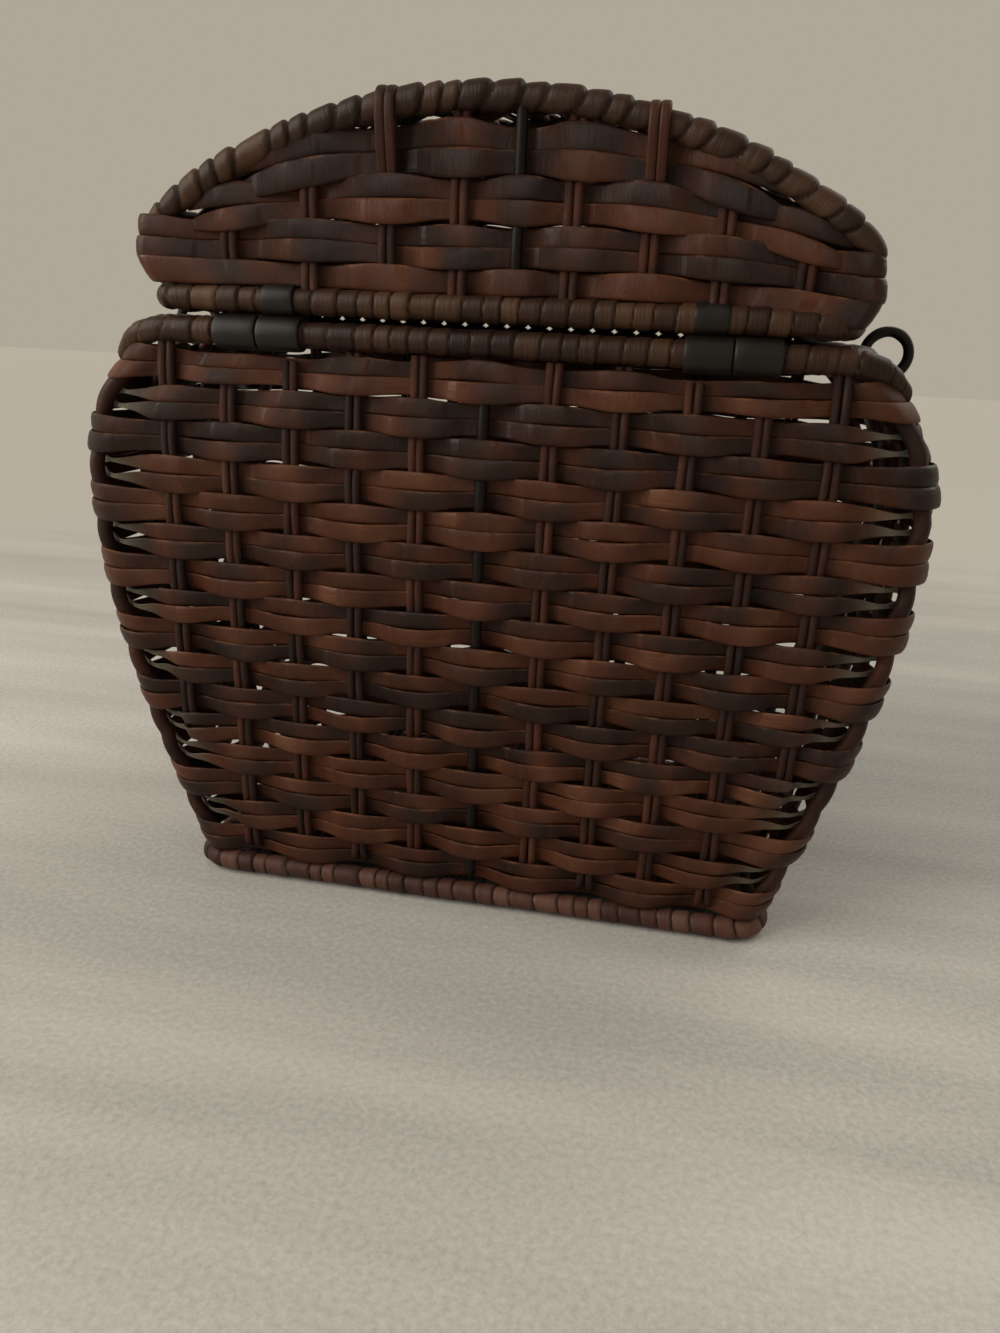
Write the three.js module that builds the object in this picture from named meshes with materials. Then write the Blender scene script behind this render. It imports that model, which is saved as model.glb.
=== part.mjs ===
// A lidded splint basket: woven rows round upright stakes, wound rims, an arched lid on strap hinges,
// and a carrying ring at each end. Millimetres, +Z up, the hinge side faces -Y.
import * as THREE from "three";

// Clearance between neighbouring pieces, and running clearance of the hinge straps
const gap = 0.3;
const runningGap = 0.35;

// Body rim, a rod round the mouth: half sizes to its axis
const rimHeight = 235;
const rimHalfWidth = 133;
const rimHalfDepth = 80;
const rimCorner = 16;
const rimRadius = 3.9;

// Woven wall: how far its middle stands out from the rim's axis at the foot, the belly and the rim seat
const footSetInWidth = 9;
const footSetInDepth = 3;
const bellyBulgeWidth = 29;
const bellyBulgeDepth = 3.5;
const seatBulgeWidth = 5;
const seatBulgeDepth = 0.2;
const bellyDrop = 57;
const shoulderPower = 2.3;
const wallCorner = 14;
const footRimRadius = 5.2;
const footRimCorner = 12;

// Weave: splint rows and the stakes that they pass
const rowCount = 16;
const rowGap = 0.5;
const rowPinch = 1.1;
const splintThickness = 1.4;
const stakeCountEachSide = 5;
const outerStakeSetIn = 8;
const endStakeCount = 4;
const endStakePitch = 25;
const stakeWidth = 6;
const stakeThickness = 3;
const centreRodDiameter = 4.4;
const cornerPostDiameter = 5;
const stakeMargin = 0.6;
const baseThickness = 3.2;

// Winding on the straight back runs of the rims
const windingMargin = 6;
const windingTurns = 18;
const windingWidth = 6.2;
const windingThickness = 0.6;

// Strap hinges: two bands beside each other at each hinge
const hingeSetIn = 63;
const strapWidth = 16.8;
const strapThickness = 1.9;

// Lid, in its own frame: the hinge axis is the body's back rim rod. The swing is in degrees from closed,
// up to where the lid's rod would bear on the outside of the wall.
const lidSwing = 115;
const lidRodRise = 11.8;
const lidRodRadius = 4.4;
const lidSetIn = 7;
const lidCorner = 8;
const archRadius = 4.2;
const archFootSetIn = 2;
const archFootLean = 5;
const archFootLift = 7.3;
const archSpringSetIn = 6;
const archBulge = 21;
const archSpringRise = 31.4;
const crownRise = 68;
const lidPanelThickness = 2.6;
const vaultThickness = 3.2;
const vaultRows = 12;
const vaultRelief = 1.6;
const vaultStep = 0.4;
const lidRodOffset = 9;
const lidCentreRodDiameter = 4.4;

// Where the lid's uprights stand, as shares of the arch's half width
const lidUprights = [-0.82, -0.56, -0.32, -0.1, 0.075, 0.23, 0.46, 0.67, 0.9];

// Carrying rings and the eyes that hold them, over the body rim's axis
const ringRadius = 8.8;
const ringWire = 2.15;
const ringRise = 1.5;
const eyeWire = 1;
const eyeSlack = 0.9;
const eyeRise = 1.5;

// Facets of the round pieces
const rodSides = 8;
const cornerSteps = 4;
const ringSteps = 16;
const windingSteps = 8;
const strapSteps = 8;
const archFootSteps = 6;
const archBowSteps = 12;

// Finishes
function finish(color, roughness, metalness) {
  return new THREE.MeshStandardMaterial({ color, roughness, metalness });
}
const splint = finish(0x4a2f24, 0.55, 0);
const reed = finish(0x3d291f, 0.6, 0);
const wrap = finish(0x4f3a2c, 0.6, 0);
const blackRod = finish(0x1d1714, 0.45, 0);
const strap = finish(0x26221e, 0.4, 0);
const iron = finish(0x24211d, 0.4, 0.8);

// Half size of the wall's middle at a height: a sine rise from the foot to the belly, then a power
// law that turns in to the rim seat.
const footTop = 2 * footRimRadius;
const seatHeight = rimHeight - rimRadius + gap;
const bellyHeight = rimHeight - bellyDrop;
const footHalfWidth = rimHalfWidth - footSetInWidth;
const footHalfDepth = rimHalfDepth - footSetInDepth;
function wallHalf(rim, footSetIn, bellyBulge, seatBulge, z) {
  const [foot, belly, seat] = [rim - footSetIn, rim + bellyBulge, rim + seatBulge];
  if (z < bellyHeight) {
    const rise = Math.max(0, (z - footTop) / (bellyHeight - footTop));
    return foot + (belly - foot) * Math.sin((rise * Math.PI) / 2);
  }
  const turn = (z - bellyHeight) / (seatHeight - bellyHeight);
  return belly - (belly - seat) * Math.pow(turn, shoulderPower);
}
const halfWidth = (z) => wallHalf(rimHalfWidth, footSetInWidth, bellyBulgeWidth, seatBulgeWidth, z);
const halfDepth = (z) => wallHalf(rimHalfDepth, footSetInDepth, bellyBulgeDepth, seatBulgeDepth, z);

// A solid from a run of equal rings of points, closed on itself or capped at both ends.
function loft(rings, closed) {
  const count = rings[0].length;
  const points = rings.flat();
  const faces = [];
  const last = closed ? rings.length : rings.length - 1;
  for (let i = 0; i < last; i++) {
    const here = i * count;
    const next = ((i + 1) % rings.length) * count;
    for (let j = 0; j < count; j++) {
      const k = (j + 1) % count;
      faces.push(here + j, here + k, next + k, here + j, next + k, next + j);
    }
  }
  if (!closed) {
    const end = (rings.length - 1) * count;
    for (let j = 1; j < count - 1; j++) {
      faces.push(0, j + 1, j, end, end + j, end + j + 1);
    }
  }
  let volume = 0;
  for (let i = 0; i < faces.length; i += 3) {
    const [a, b, c] = [points[faces[i]], points[faces[i + 1]], points[faces[i + 2]]];
    volume += a.dot(new THREE.Vector3().crossVectors(b, c));
  }
  if (volume < 0) {
    faces.reverse();
  }
  const geometry = new THREE.BufferGeometry().setFromPoints(points);
  geometry.setIndex(faces);
  geometry.computeVertexNormals();
  return geometry;
}

// A section of [across, along the plane's normal] points carried along a flat path with mitred bends.
function sweep(path, planeNormal, section, closed) {
  const count = path.length;
  const rings = path.map((point, i) => {
    const before = closed || i > 0 ? path[(i + count - 1) % count] : null;
    const after = closed || i < count - 1 ? path[(i + 1) % count] : null;
    const into = before ? point.clone().sub(before).normalize() : null;
    const out = after ? after.clone().sub(point).normalize() : into;
    const tangent = (into || out).clone().add(out).normalize();
    const across = new THREE.Vector3().crossVectors(planeNormal, tangent);
    across.multiplyScalar(1 / tangent.dot(out));
    return section.map(([u, v]) => point.clone().addScaledVector(across, u).addScaledVector(planeNormal, v));
  });
  return loft(rings, closed);
}

// A regular polygon whose flats face along both axes of the section.
function roundSection(radius, sides = rodSides) {
  const points = [];
  for (let i = 0; i < sides; i++) {
    const angle = ((i + 0.5) * 2 * Math.PI) / sides;
    points.push([radius * Math.cos(angle), radius * Math.sin(angle)]);
  }
  return points;
}

function flatSection(thickness, width) {
  const [u, v] = [thickness / 2, width / 2];
  return [[-u, -v], [u, -v], [u, v], [-u, v]];
}

// A rounded rectangle in plan, seen from above, counter-clockwise.
function roundedPlan(half, low, high, corner, z) {
  const centres = [
    [half - corner, low + corner, -90],
    [half - corner, high - corner, 0],
    [corner - half, high - corner, 90],
    [corner - half, low + corner, 180],
  ];
  return centres.flatMap(([x, y, start]) =>
    Array.from({ length: cornerSteps + 1 }, (_, i) => {
      const angle = THREE.MathUtils.degToRad(start + (90 * i) / cornerSteps);
      return new THREE.Vector3(x + corner * Math.cos(angle), y + corner * Math.sin(angle), z);
    }),
  );
}

const up = new THREE.Vector3(0, 0, 1);
const alongX = new THREE.Vector3(1, 0, 0);
const alongY = new THREE.Vector3(0, 1, 0);
const basket = new THREE.Group();
function add(name, geometry, material, parent = basket) {
  const mesh = new THREE.Mesh(geometry, material.clone());
  mesh.name = name;
  parent.add(mesh);
  return mesh;
}

// The closed lid leans until its front rod meets the body's front rod. Each hinge strap is a belt round
// the lid's rod and the body's rod, and swings back with the lid over the top of the back wall.
const lidDepth = 2 * rimHalfDepth;
const closedDrop = lidRodRise - (rimRadius + lidRodRadius + gap);
const closedLean = Math.atan2(closedDrop, lidDepth);
const beltFlat = 1 / Math.cos(Math.PI / (2 * strapSteps));
const beltLower = (rimRadius + runningGap) * beltFlat;
const beltHigher = (lidRodRadius + gap) * beltFlat;
const beltLean = Math.asin((beltHigher - beltLower) / lidRodRise);
const strapReach = beltLower + strapThickness;

// Where the open lid's straps pass the wall's outer face, below the rim's axis
const passing = (half) => half + gap + splintThickness / 2;
const wallFace = halfDepth(rimHeight - 2 * strapReach) + passing(stakeThickness / 2) + splintThickness / 2;
const openSlope = THREE.MathUtils.degToRad(lidSwing - 90) - closedLean + beltLean;
const strapOverhang = (wallFace - rimHalfDepth) * Math.sin(openSlope);
const strapDrop = (strapReach + strapOverhang) / Math.cos(openSlope);

// Heights that the body's pieces share: the two layers of stakes under the rows, and the rows' top
// under the open lid's straps.
const sideStakeFloor = footTop + gap + centreRodDiameter / 2;
const endStakeFloor = sideStakeFloor + centreRodDiameter / 2 + gap + stakeThickness / 2;
const rowsBottom = endStakeFloor + stakeThickness / 2 + gap;
const rowsTop = rimHeight - strapDrop - gap;
const rowPitch = (rowsTop - rowsBottom) / rowCount;
const rowEdge = (i) => rowsTop - i * rowPitch;

// Foot rim, a rod with a flat underside, and the base inside it
const footPlan = roundedPlan(footHalfWidth, -footHalfDepth, footHalfDepth, footRimCorner, footRimRadius);
const footFlat = 1 / Math.cos(Math.PI / rodSides);
add("foot_rim", sweep(footPlan, up, roundSection(footRimRadius * footFlat), true), wrap);
const baseInset = footRimRadius * footFlat + gap;
const basePlan = roundedPlan(
  footHalfWidth - baseInset,
  baseInset - footHalfDepth,
  footHalfDepth - baseInset,
  footRimCorner - baseInset / 2,
  0,
);
const baseShape = new THREE.Shape(basePlan.map((p) => new THREE.Vector2(p.x, p.y)));
const basePanel = new THREE.ExtrudeGeometry(baseShape, { depth: baseThickness, bevelEnabled: false });
add("base_panel", basePanel, splint).position.z = footTop - baseThickness;

// Rim rod round the mouth of the body
const rimPlan = roundedPlan(rimHalfWidth, -rimHalfDepth, rimHalfDepth, rimCorner, rimHeight);
add("body_rim", sweep(rimPlan, up, roundSection(rimRadius), true), wrap);

// Stakes run down the back wall, under the inside and up the front wall as one bent piece.
const windingInside = (rodRadius) => (rodRadius + gap) / Math.cos(Math.PI / windingSteps);
const windingReach = (rodRadius) => windingInside(rodRadius) + windingThickness;
const hingeStart = rimHalfWidth - hingeSetIn;
const windingHalfLength = hingeStart - windingMargin;
const hingeEnd = hingeStart + 2 * strapWidth + gap;
function stakeTop(x) {
  if (Math.abs(x) < windingHalfLength + stakeWidth) {
    return rimHeight - windingReach(rimRadius) - gap;
  }
  return Math.abs(x) < hingeEnd + stakeWidth ? rowsTop : rimHeight - rimRadius - gap;
}
const stakePitch = (rimHalfWidth - outerStakeSetIn) / stakeCountEachSide;
const cornerRoom = (z) => halfWidth(z) - wallCorner - stakeWidth / 2 - stakeMargin;
const stakeHalf = (k) => (k === 0 ? centreRodDiameter : stakeThickness) / 2;
function wallHeights(bottom, top, step) {
  const heights = [];
  for (let i = 0; i <= rowCount; i += step) {
    heights.push(rowEdge(i));
  }
  return [bottom, ...heights.reverse().filter((z) => z > bottom + 1 && z < top - 1), top];
}
for (let k = -stakeCountEachSide; k <= stakeCountEachSide; k++) {
  const x = k * stakePitch;
  const section = k === 0 ? roundSection(centreRodDiameter / 2) : flatSection(stakeThickness, stakeWidth);
  const name = k === 0 ? "centre_rod" : "stake_" + (k < 0 ? "left_" : "right_") + Math.abs(k);
  const material = k === 0 ? blackRod : reed;
  const reachesBase = cornerRoom(sideStakeFloor) > Math.abs(x);
  if (reachesBase) {
    const heights = wallHeights(sideStakeFloor, stakeTop(x), 2);
    const back = heights.map((z) => new THREE.Vector3(x, -halfDepth(z), z)).reverse();
    const front = heights.map((z) => new THREE.Vector3(x, halfDepth(z), z));
    add(name, sweep([...back, ...front], alongX, section, false), material);
  } else {
    // The outermost stakes run out into the tapering corner, one on each long wall.
    let edge = 0;
    while (edge < rowCount && cornerRoom(rowEdge(edge + 1)) > Math.abs(x)) {
      edge += 1;
    }
    const heights = wallHeights(rowEdge(edge) + rowGap, stakeTop(x), 2);
    for (const [side, sign] of [["back", -1], ["front", 1]]) {
      const path = heights.map((z) => new THREE.Vector3(x, sign * halfDepth(z), z));
      add(name + "_" + side, sweep(path, alongX, section, false), material);
    }
  }
}

// End stakes cross over the side stakes and turn up both end walls to the rim.
const endStakeRows = [];
for (let j = 0; j < endStakeCount; j++) {
  const y = (j - (endStakeCount - 1) / 2) * endStakePitch;
  endStakeRows.push(y);
  const heights = wallHeights(endStakeFloor, seatHeight - gap, 1);
  const left = heights.map((z) => new THREE.Vector3(-halfWidth(z), y, z)).reverse();
  const right = heights.map((z) => new THREE.Vector3(halfWidth(z), y, z));
  const section = flatSection(stakeThickness, stakeWidth);
  add("end_stake_" + (j + 1), sweep([...left, ...right], alongY.clone().negate(), section, false), reed);
}

// Corner posts stand in the middle of the wall's rounded corners.
const cornerReach = wallCorner * (1 - Math.SQRT1_2);
const postSection = roundSection(cornerPostDiameter / 2);
for (const [side, signX] of [["left", -1], ["right", 1]]) {
  for (const [face, signY] of [["back", -1], ["front", 1]]) {
    const heights = wallHeights(footTop + gap, rowsTop + gap, 1);
    const rings = heights.map((z) => {
      const [x, y] = [signX * (halfWidth(z) - cornerReach), signY * (halfDepth(z) - cornerReach)];
      return postSection.map(([u, v]) => new THREE.Vector3(x + u, y + v, z));
    });
    add("corner_post_" + face + "_" + side, loft(rings, false), reed);
  }
}

// One row of splints: a closed band that passes outside and inside the stakes in turn. Each sample is
// a place in plan and the stake that it passes, numbered round the basket from the back left corner.
// On the leaning end walls the offset grows with the slant, so that it stays the same across the wall.
// A row is pinched where it passes inside, which leaves small openings beside the stakes.
function rowSamples(z, high) {
  const samples = [];
  const slant = Math.hypot(1, (halfWidth(high) - halfWidth(z)) / (high - z));
  const flat = stakeWidth / 2 + stakeMargin;
  const corner = (cx, cy, start, number) => {
    const reach = passing(cornerPostDiameter / 2);
    for (const turn of [22.5, 45, 67.5]) {
      const angle = THREE.MathUtils.degToRad(start + turn);
      const place = (height, out) => [
        cx * (halfWidth(height) - wallCorner) + (wallCorner + out) * Math.cos(angle),
        cy * (halfDepth(height) - wallCorner) + (wallCorner + out) * Math.sin(angle),
      ];
      samples.push({ number, reach, place });
    }
  };
  const side = (sign, first) => {
    for (let i = 0; i <= 2 * stakeCountEachSide; i++) {
      const k = i - stakeCountEachSide;
      if (cornerRoom(z) > Math.abs(k) * stakePitch) {
        for (const edge of [-flat, flat]) {
          const x = sign * (k * stakePitch + edge);
          const place = (height, out) => [x, -sign * (halfDepth(height) + out)];
          samples.push({ number: first + i, reach: passing(stakeHalf(k)), place });
        }
      }
    }
  };
  const end = (sign, first) => {
    endStakeRows.forEach((row, i) => {
      for (const edge of [-flat, flat]) {
        const y = sign * (row + edge);
        const place = (height, out) => [sign * (halfWidth(height) + out * slant), y];
        samples.push({ number: first + i, reach: passing(stakeThickness / 2), place });
      }
    });
  };
  const perSide = 2 * stakeCountEachSide + 1;
  const perEnd = endStakeRows.length;
  corner(-1, -1, 180, 0);
  side(1, 1);
  corner(1, -1, -90, perSide + 1);
  end(1, perSide + 2);
  corner(1, 1, 0, perSide + perEnd + 2);
  side(-1, perSide + perEnd + 3);
  corner(-1, 1, 90, 2 * perSide + perEnd + 3);
  end(-1, 2 * perSide + perEnd + 4);
  return samples;
}
for (let row = 1; row <= rowCount; row++) {
  const high = rowEdge(row - 1) - rowGap / 2;
  const low = rowEdge(row) + rowGap / 2;
  const rings = rowSamples(low, high).map(({ number, reach, place }) => {
    const inside = (number + row) % 2 === 0;
    const offset = inside ? -reach : reach;
    const pinch = inside ? rowPinch / (high - low) : 0;
    const [inner, outer] = [offset - splintThickness / 2, offset + splintThickness / 2];
    const corners = [[pinch, outer], [1 - pinch, outer], [1 - pinch, inner], [pinch, inner]];
    return corners.map(([share, out]) => {
      const top = new THREE.Vector3(...place(high, out), high);
      return new THREE.Vector3(...place(low, out), low).lerp(top, share);
    });
  });
  add("wall_row_" + String(row).padStart(2, "0"), loft(rings, true), splint);
}

// A flat strip wound round a rod that lies along X, with its least gap from turn to turn.
function winding(rodRadius, y, z) {
  const pitch = (2 * windingHalfLength - windingWidth) / windingTurns;
  const inside = windingInside(rodRadius);
  const rings = [];
  for (let i = 0; i <= windingTurns * windingSteps; i++) {
    const angle = (2 * Math.PI * i) / windingSteps;
    const x = windingWidth / 2 - windingHalfLength + (pitch * i) / windingSteps;
    const corners = [[-1, 0], [1, 0], [1, windingThickness], [-1, windingThickness]];
    rings.push(
      corners.map(([edge, out]) => {
        const radius = inside + out;
        const across = x + (edge * windingWidth) / 2;
        return new THREE.Vector3(across, y + radius * Math.cos(angle), z + radius * Math.sin(angle));
      }),
    );
  }
  let least = Infinity;
  for (let i = 0; i + windingSteps < rings.length; i++) {
    for (const step of [windingSteps - 1, windingSteps, windingSteps + 1]) {
      const next = rings[Math.min(i + step, rings.length - 1)];
      least = Math.min(least, next[0].distanceTo(rings[i][1]), next[3].distanceTo(rings[i][2]));
    }
  }
  return { geometry: loft(rings, false), least };
}
const bodyWinding = winding(rimRadius, -rimHalfDepth, rimHeight);
add("body_rim_winding", bodyWinding.geometry, wrap);
console.log("body winding, least gap to itself", bodyWinding.least.toFixed(2), "mm");

// Lid, hung on the body's back rim rod and let down until its front rod meets the body's front rod
const lid = new THREE.Group();
const lidHalfWidth = rimHalfWidth - lidSetIn;
lid.position.set(0, -rimHalfDepth, rimHeight);
lid.rotation.x = -closedLean;
basket.add(lid);
const lidPlan = roundedPlan(lidHalfWidth, 0, lidDepth, lidCorner, lidRodRise);
add("lid_rim", sweep(lidPlan, up, roundSection(lidRodRadius), true), wrap, lid);
const lidWinding = winding(lidRodRadius, 0, lidRodRise);
add("lid_rim_winding", lidWinding.geometry, wrap, lid);
console.log("lid winding, least gap to itself", lidWinding.least.toFixed(2), "mm");

// The arch in the XZ plane: a bulging foot on each side of one circular bow. Points run left to right.
const footDrop = (archRadius * archFootLean) / Math.hypot(archFootLean, archFootLift);
const archFootHalfWidth = lidHalfWidth - archFootSetIn;
const archSpringHalfWidth = lidHalfWidth - archSpringSetIn;
const archFoot = new THREE.Vector2(archFootHalfWidth, lidRodRise + lidRodRadius + gap + footDrop);
const bowRise = crownRise - archSpringRise;
const archCurve = (archSpringHalfWidth ** 2 + bowRise ** 2) / (2 * bowRise);
const bowCentre = lidRodRise + crownRise - archCurve;
const bowAngle = Math.asin(archSpringHalfWidth / archCurve);
const archSpring = new THREE.Vector2(archSpringHalfWidth, bowCentre + archCurve * Math.cos(bowAngle));
const bowTangent = new THREE.Vector2(Math.cos(bowAngle), -Math.sin(bowAngle));
const footCurve = new THREE.CubicBezierCurve(
  archFoot,
  archFoot.clone().add(new THREE.Vector2(archFootLean, archFootLift)),
  archSpring.clone().addScaledVector(bowTangent, archBulge),
  archSpring,
);
const archFeet = footCurve.getPoints(archFootSteps);
const archBow = [];
for (let i = 1; i < archBowSteps / 2; i++) {
  const angle = bowAngle * (1 - (2 * i) / archBowSteps);
  archBow.push(new THREE.Vector2(archCurve * Math.sin(angle), bowCentre + archCurve * Math.cos(angle)));
}
const flip = (points) => points.map((p) => new THREE.Vector2(-p.x, p.y));
const crown = new THREE.Vector2(0, lidRodRise + crownRise);
const rightHalf = [crown, ...archBow.slice().reverse(), ...archFeet.slice().reverse()];
const archLine = [...flip(rightHalf).reverse(), ...rightHalf.slice(1)];
const inPlane = (points, y) => points.map((p) => new THREE.Vector3(p.x, y, p.y));
for (const [face, y] of [["back", 0], ["front", lidDepth]]) {
  add("lid_arch_" + face, sweep(inPlane(archLine, y), alongY, roundSection(archRadius), false), wrap, lid);
}

// Points of the arch set in by a distance, mitred, for the panels that fill it
function setIn(points, distance) {
  return points.map((p, i) => {
    const before = points[Math.max(0, i - 1)];
    const after = points[Math.min(points.length - 1, i + 1)];
    const into = (i > 0 ? p.clone().sub(before) : after.clone().sub(p)).normalize();
    const out = (i < points.length - 1 ? after.clone().sub(p) : into.clone()).normalize();
    const tangent = into.clone().add(out).normalize();
    const inward = new THREE.Vector2(tangent.y, -tangent.x);
    return p.clone().addScaledVector(inward, distance / tangent.dot(out));
  });
}
const lidStrapReach = lidRodRadius + gap + strapThickness;
const panelFloor = lidRodRise + lidStrapReach + gap;
const archInside = setIn(archLine, archRadius + gap).filter((p) => p.y > panelFloor);
const panelFoot = archInside[archInside.length - 1].x;
const panelOutline = [
  new THREE.Vector2(-panelFoot, panelFloor),
  ...archInside,
  new THREE.Vector2(panelFoot, panelFloor),
];
const panelShape = new THREE.Shape(panelOutline.slice().reverse());
for (const [face, y] of [["back", 0], ["front", lidDepth]]) {
  const panel = new THREE.ExtrudeGeometry(panelShape, { depth: lidPanelThickness, bevelEnabled: false });
  panel.rotateX(Math.PI / 2);
  panel.translate(0, y + lidPanelThickness / 2, 0);
  add("lid_" + face + "_panel", panel, splint, lid);
  const sign = y > 0 ? 1 : -1;
  const rodOut = lidPanelThickness / 2 + gap + lidCentreRodDiameter / 2;
  const rodFoot = lidRodRise + windingReach(lidRodRadius) + gap;
  const bowThere = bowCentre + Math.sqrt(archCurve ** 2 - lidRodOffset ** 2);
  const rodTop = bowThere - archRadius * footFlat - gap;
  const rodPath = [rodFoot, rodTop].map((z) => new THREE.Vector3(lidRodOffset, y + sign * rodOut, z));
  const rodSection = roundSection(lidCentreRodDiameter / 2);
  add("lid_" + face + "_rod", sweep(rodPath, alongX, rodSection, false), blackRod, lid);
}

// The vault between the two arches, in one top and two end walls
const vaultStart = archRadius + gap;
const vaultDepth = lidDepth - 2 * vaultStart;
function vault(points) {
  const band = [...setIn(points, vaultThickness / 2), ...setIn(points, -vaultThickness / 2).reverse()];
  const shape = new THREE.Shape(band);
  const geometry = new THREE.ExtrudeGeometry(shape, { depth: vaultDepth, bevelEnabled: false });
  geometry.rotateX(Math.PI / 2);
  geometry.translate(0, vaultStart + vaultDepth, 0);
  return geometry;
}
const splitEnds = (points, short) => {
  const first = points[0].clone().lerp(points[1], short / points[0].distanceTo(points[1]));
  const [a, b] = [points[points.length - 1], points[points.length - 2]];
  const last = a.clone().lerp(b, short / a.distanceTo(b));
  return [first, ...points.slice(1, -1), last];
};
// The top has a band for each row of its weave, raised and sunk in turn from upright to upright.
const topEnd = bowAngle - gap / archCurve;
const uprightAngle = (share) => Math.asin((share * archSpringHalfWidth) / archCurve);
const topAngles = [-topEnd, ...lidUprights.map(uprightAngle), topEnd];
const bandWidth = vaultDepth / vaultRows;
const topRings = topAngles.map((angle, i) => {
  const place = (across, out) => {
    const radius = archCurve + out;
    const y = vaultStart + across;
    return new THREE.Vector3(radius * Math.sin(angle), y, bowCentre + radius * Math.cos(angle));
  };
  const atEnd = i === 0 || i === topAngles.length - 1;
  const ring = [place(0, -vaultThickness / 2)];
  for (let row = 0; row < vaultRows; row++) {
    const raised = (row + i) % 2 === 0 ? vaultRelief : -vaultRelief;
    const out = vaultThickness / 2 + (atEnd ? 0 : raised);
    const from = row === 0 ? 0 : row * bandWidth + vaultStep / 2;
    const to = row === vaultRows - 1 ? vaultDepth : (row + 1) * bandWidth - vaultStep / 2;
    ring.push(place(from, out), place(to, out));
  }
  ring.push(place(vaultDepth, -vaultThickness / 2));
  return ring;
});
add("lid_top", loft(topRings, false), splint, lid);
const leftEnd = splitEnds(flip(archFeet), gap);
add("lid_end_left", vault(leftEnd), splint, lid);
add("lid_end_right", vault(flip(leftEnd).reverse()), splint, lid);

// Hinge straps, two beside each other at each hinge
function beltOutline(lower, higher) {
  const points = [];
  for (let i = 0; i <= strapSteps; i++) {
    const angle = Math.PI + beltLean + ((Math.PI - 2 * beltLean) * i) / strapSteps;
    points.push(new THREE.Vector2(lower * Math.cos(angle), lower * Math.sin(angle)));
  }
  for (let i = 0; i <= strapSteps; i++) {
    const angle = -beltLean + ((Math.PI + 2 * beltLean) * i) / strapSteps;
    points.push(new THREE.Vector2(higher * Math.cos(angle), lidRodRise + higher * Math.sin(angle)));
  }
  return points;
}
const beltShape = new THREE.Shape(beltOutline(beltLower + strapThickness, beltHigher + strapThickness));
beltShape.holes.push(new THREE.Path(beltOutline(beltLower, beltHigher).reverse()));
for (const [side, sign] of [["left", -1], ["right", 1]]) {
  for (const [place, start] of [["inner", hingeStart], ["outer", hingeStart + strapWidth + gap]]) {
    const belt = new THREE.ExtrudeGeometry(beltShape, { depth: strapWidth, bevelEnabled: false });
    belt.applyMatrix4(new THREE.Matrix4().makeBasis(alongY, up, alongX));
    belt.translate(sign > 0 ? start : -start - strapWidth, 0, 0);
    add("hinge_strap_" + side + "_" + place, belt, strap, lid);
  }
}

// Carrying rings, each upright in an eye on the middle of an end rim
const eyeRadius = ringWire + eyeSlack + eyeWire;
const eyeCentre = rimHalfWidth + rimRadius + gap + eyeWire + eyeRadius;
const ringReach = Math.sqrt(ringRadius ** 2 - (ringRise - eyeRise) ** 2);
for (const [side, sign] of [["left", -1], ["right", 1]]) {
  const eyeTorus = new THREE.TorusGeometry(eyeRadius, eyeWire, rodSides, ringSteps);
  const eye = add("ring_eye_" + side, eyeTorus, iron);
  eye.position.set(sign * eyeCentre, 0, rimHeight + eyeRise);
  const ringTorus = new THREE.TorusGeometry(ringRadius, ringWire, rodSides, ringSteps);
  const ring = add("ring_" + side, ringTorus, iron);
  ring.rotation.x = Math.PI / 2;
  ring.position.set(sign * (eyeCentre + ringReach), 0, rimHeight + ringRise);
}

export default basket;
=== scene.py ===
"""Looks of a lidded splint basket: woven walls, wound rims, an arched lid on strap hinges, two rings.

Every piece is worked out in millimetres as a surface on a grid, and put into its mesh in metres, in the
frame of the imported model. The hinge side faces -Y.
"""

import logging
from collections.abc import Callable
from dataclasses import dataclass, field
from enum import Enum, IntEnum

import bpy
import numpy as np
from mathutils import Matrix, Vector


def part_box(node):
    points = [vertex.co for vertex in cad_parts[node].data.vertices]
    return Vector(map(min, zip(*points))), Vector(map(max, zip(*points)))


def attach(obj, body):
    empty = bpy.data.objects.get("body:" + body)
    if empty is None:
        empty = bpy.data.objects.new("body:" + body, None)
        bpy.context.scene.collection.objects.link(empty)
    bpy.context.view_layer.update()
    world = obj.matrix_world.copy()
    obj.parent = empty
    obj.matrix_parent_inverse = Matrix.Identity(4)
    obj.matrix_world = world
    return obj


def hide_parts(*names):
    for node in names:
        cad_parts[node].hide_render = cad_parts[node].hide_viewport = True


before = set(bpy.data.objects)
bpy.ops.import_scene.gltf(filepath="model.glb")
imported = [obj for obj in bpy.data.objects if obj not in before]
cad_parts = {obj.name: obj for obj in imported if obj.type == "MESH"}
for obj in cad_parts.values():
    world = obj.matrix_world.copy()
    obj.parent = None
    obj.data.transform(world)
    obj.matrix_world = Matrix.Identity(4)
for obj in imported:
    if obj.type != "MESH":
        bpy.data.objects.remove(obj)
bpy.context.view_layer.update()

Array = np.ndarray
MM = 0.001
UP = np.array([0.0, 0.0, 1.0])
ALONG_X = np.array([1.0, 0.0, 0.0])
ALONG_Y = np.array([0.0, 1.0, 0.0])
TURN = 2 * np.pi
ARC_POINTS = 13
# Signs of X and Y at the corners, going round from the back left
CORNERS = ((-1, -1), (1, -1), (1, 1), (-1, 1))
# Which run ends bound each corner on its long wall and on its end wall, going round from the back right, and
# the way from the one to the other
LONG_ENDS, SHORT_ENDS, TO_END = np.array([[1, 4, 5, 8], [2, 3, 6, 7], [1, -1, 1, -1]])

log = logging.getLogger("basket")


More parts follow.
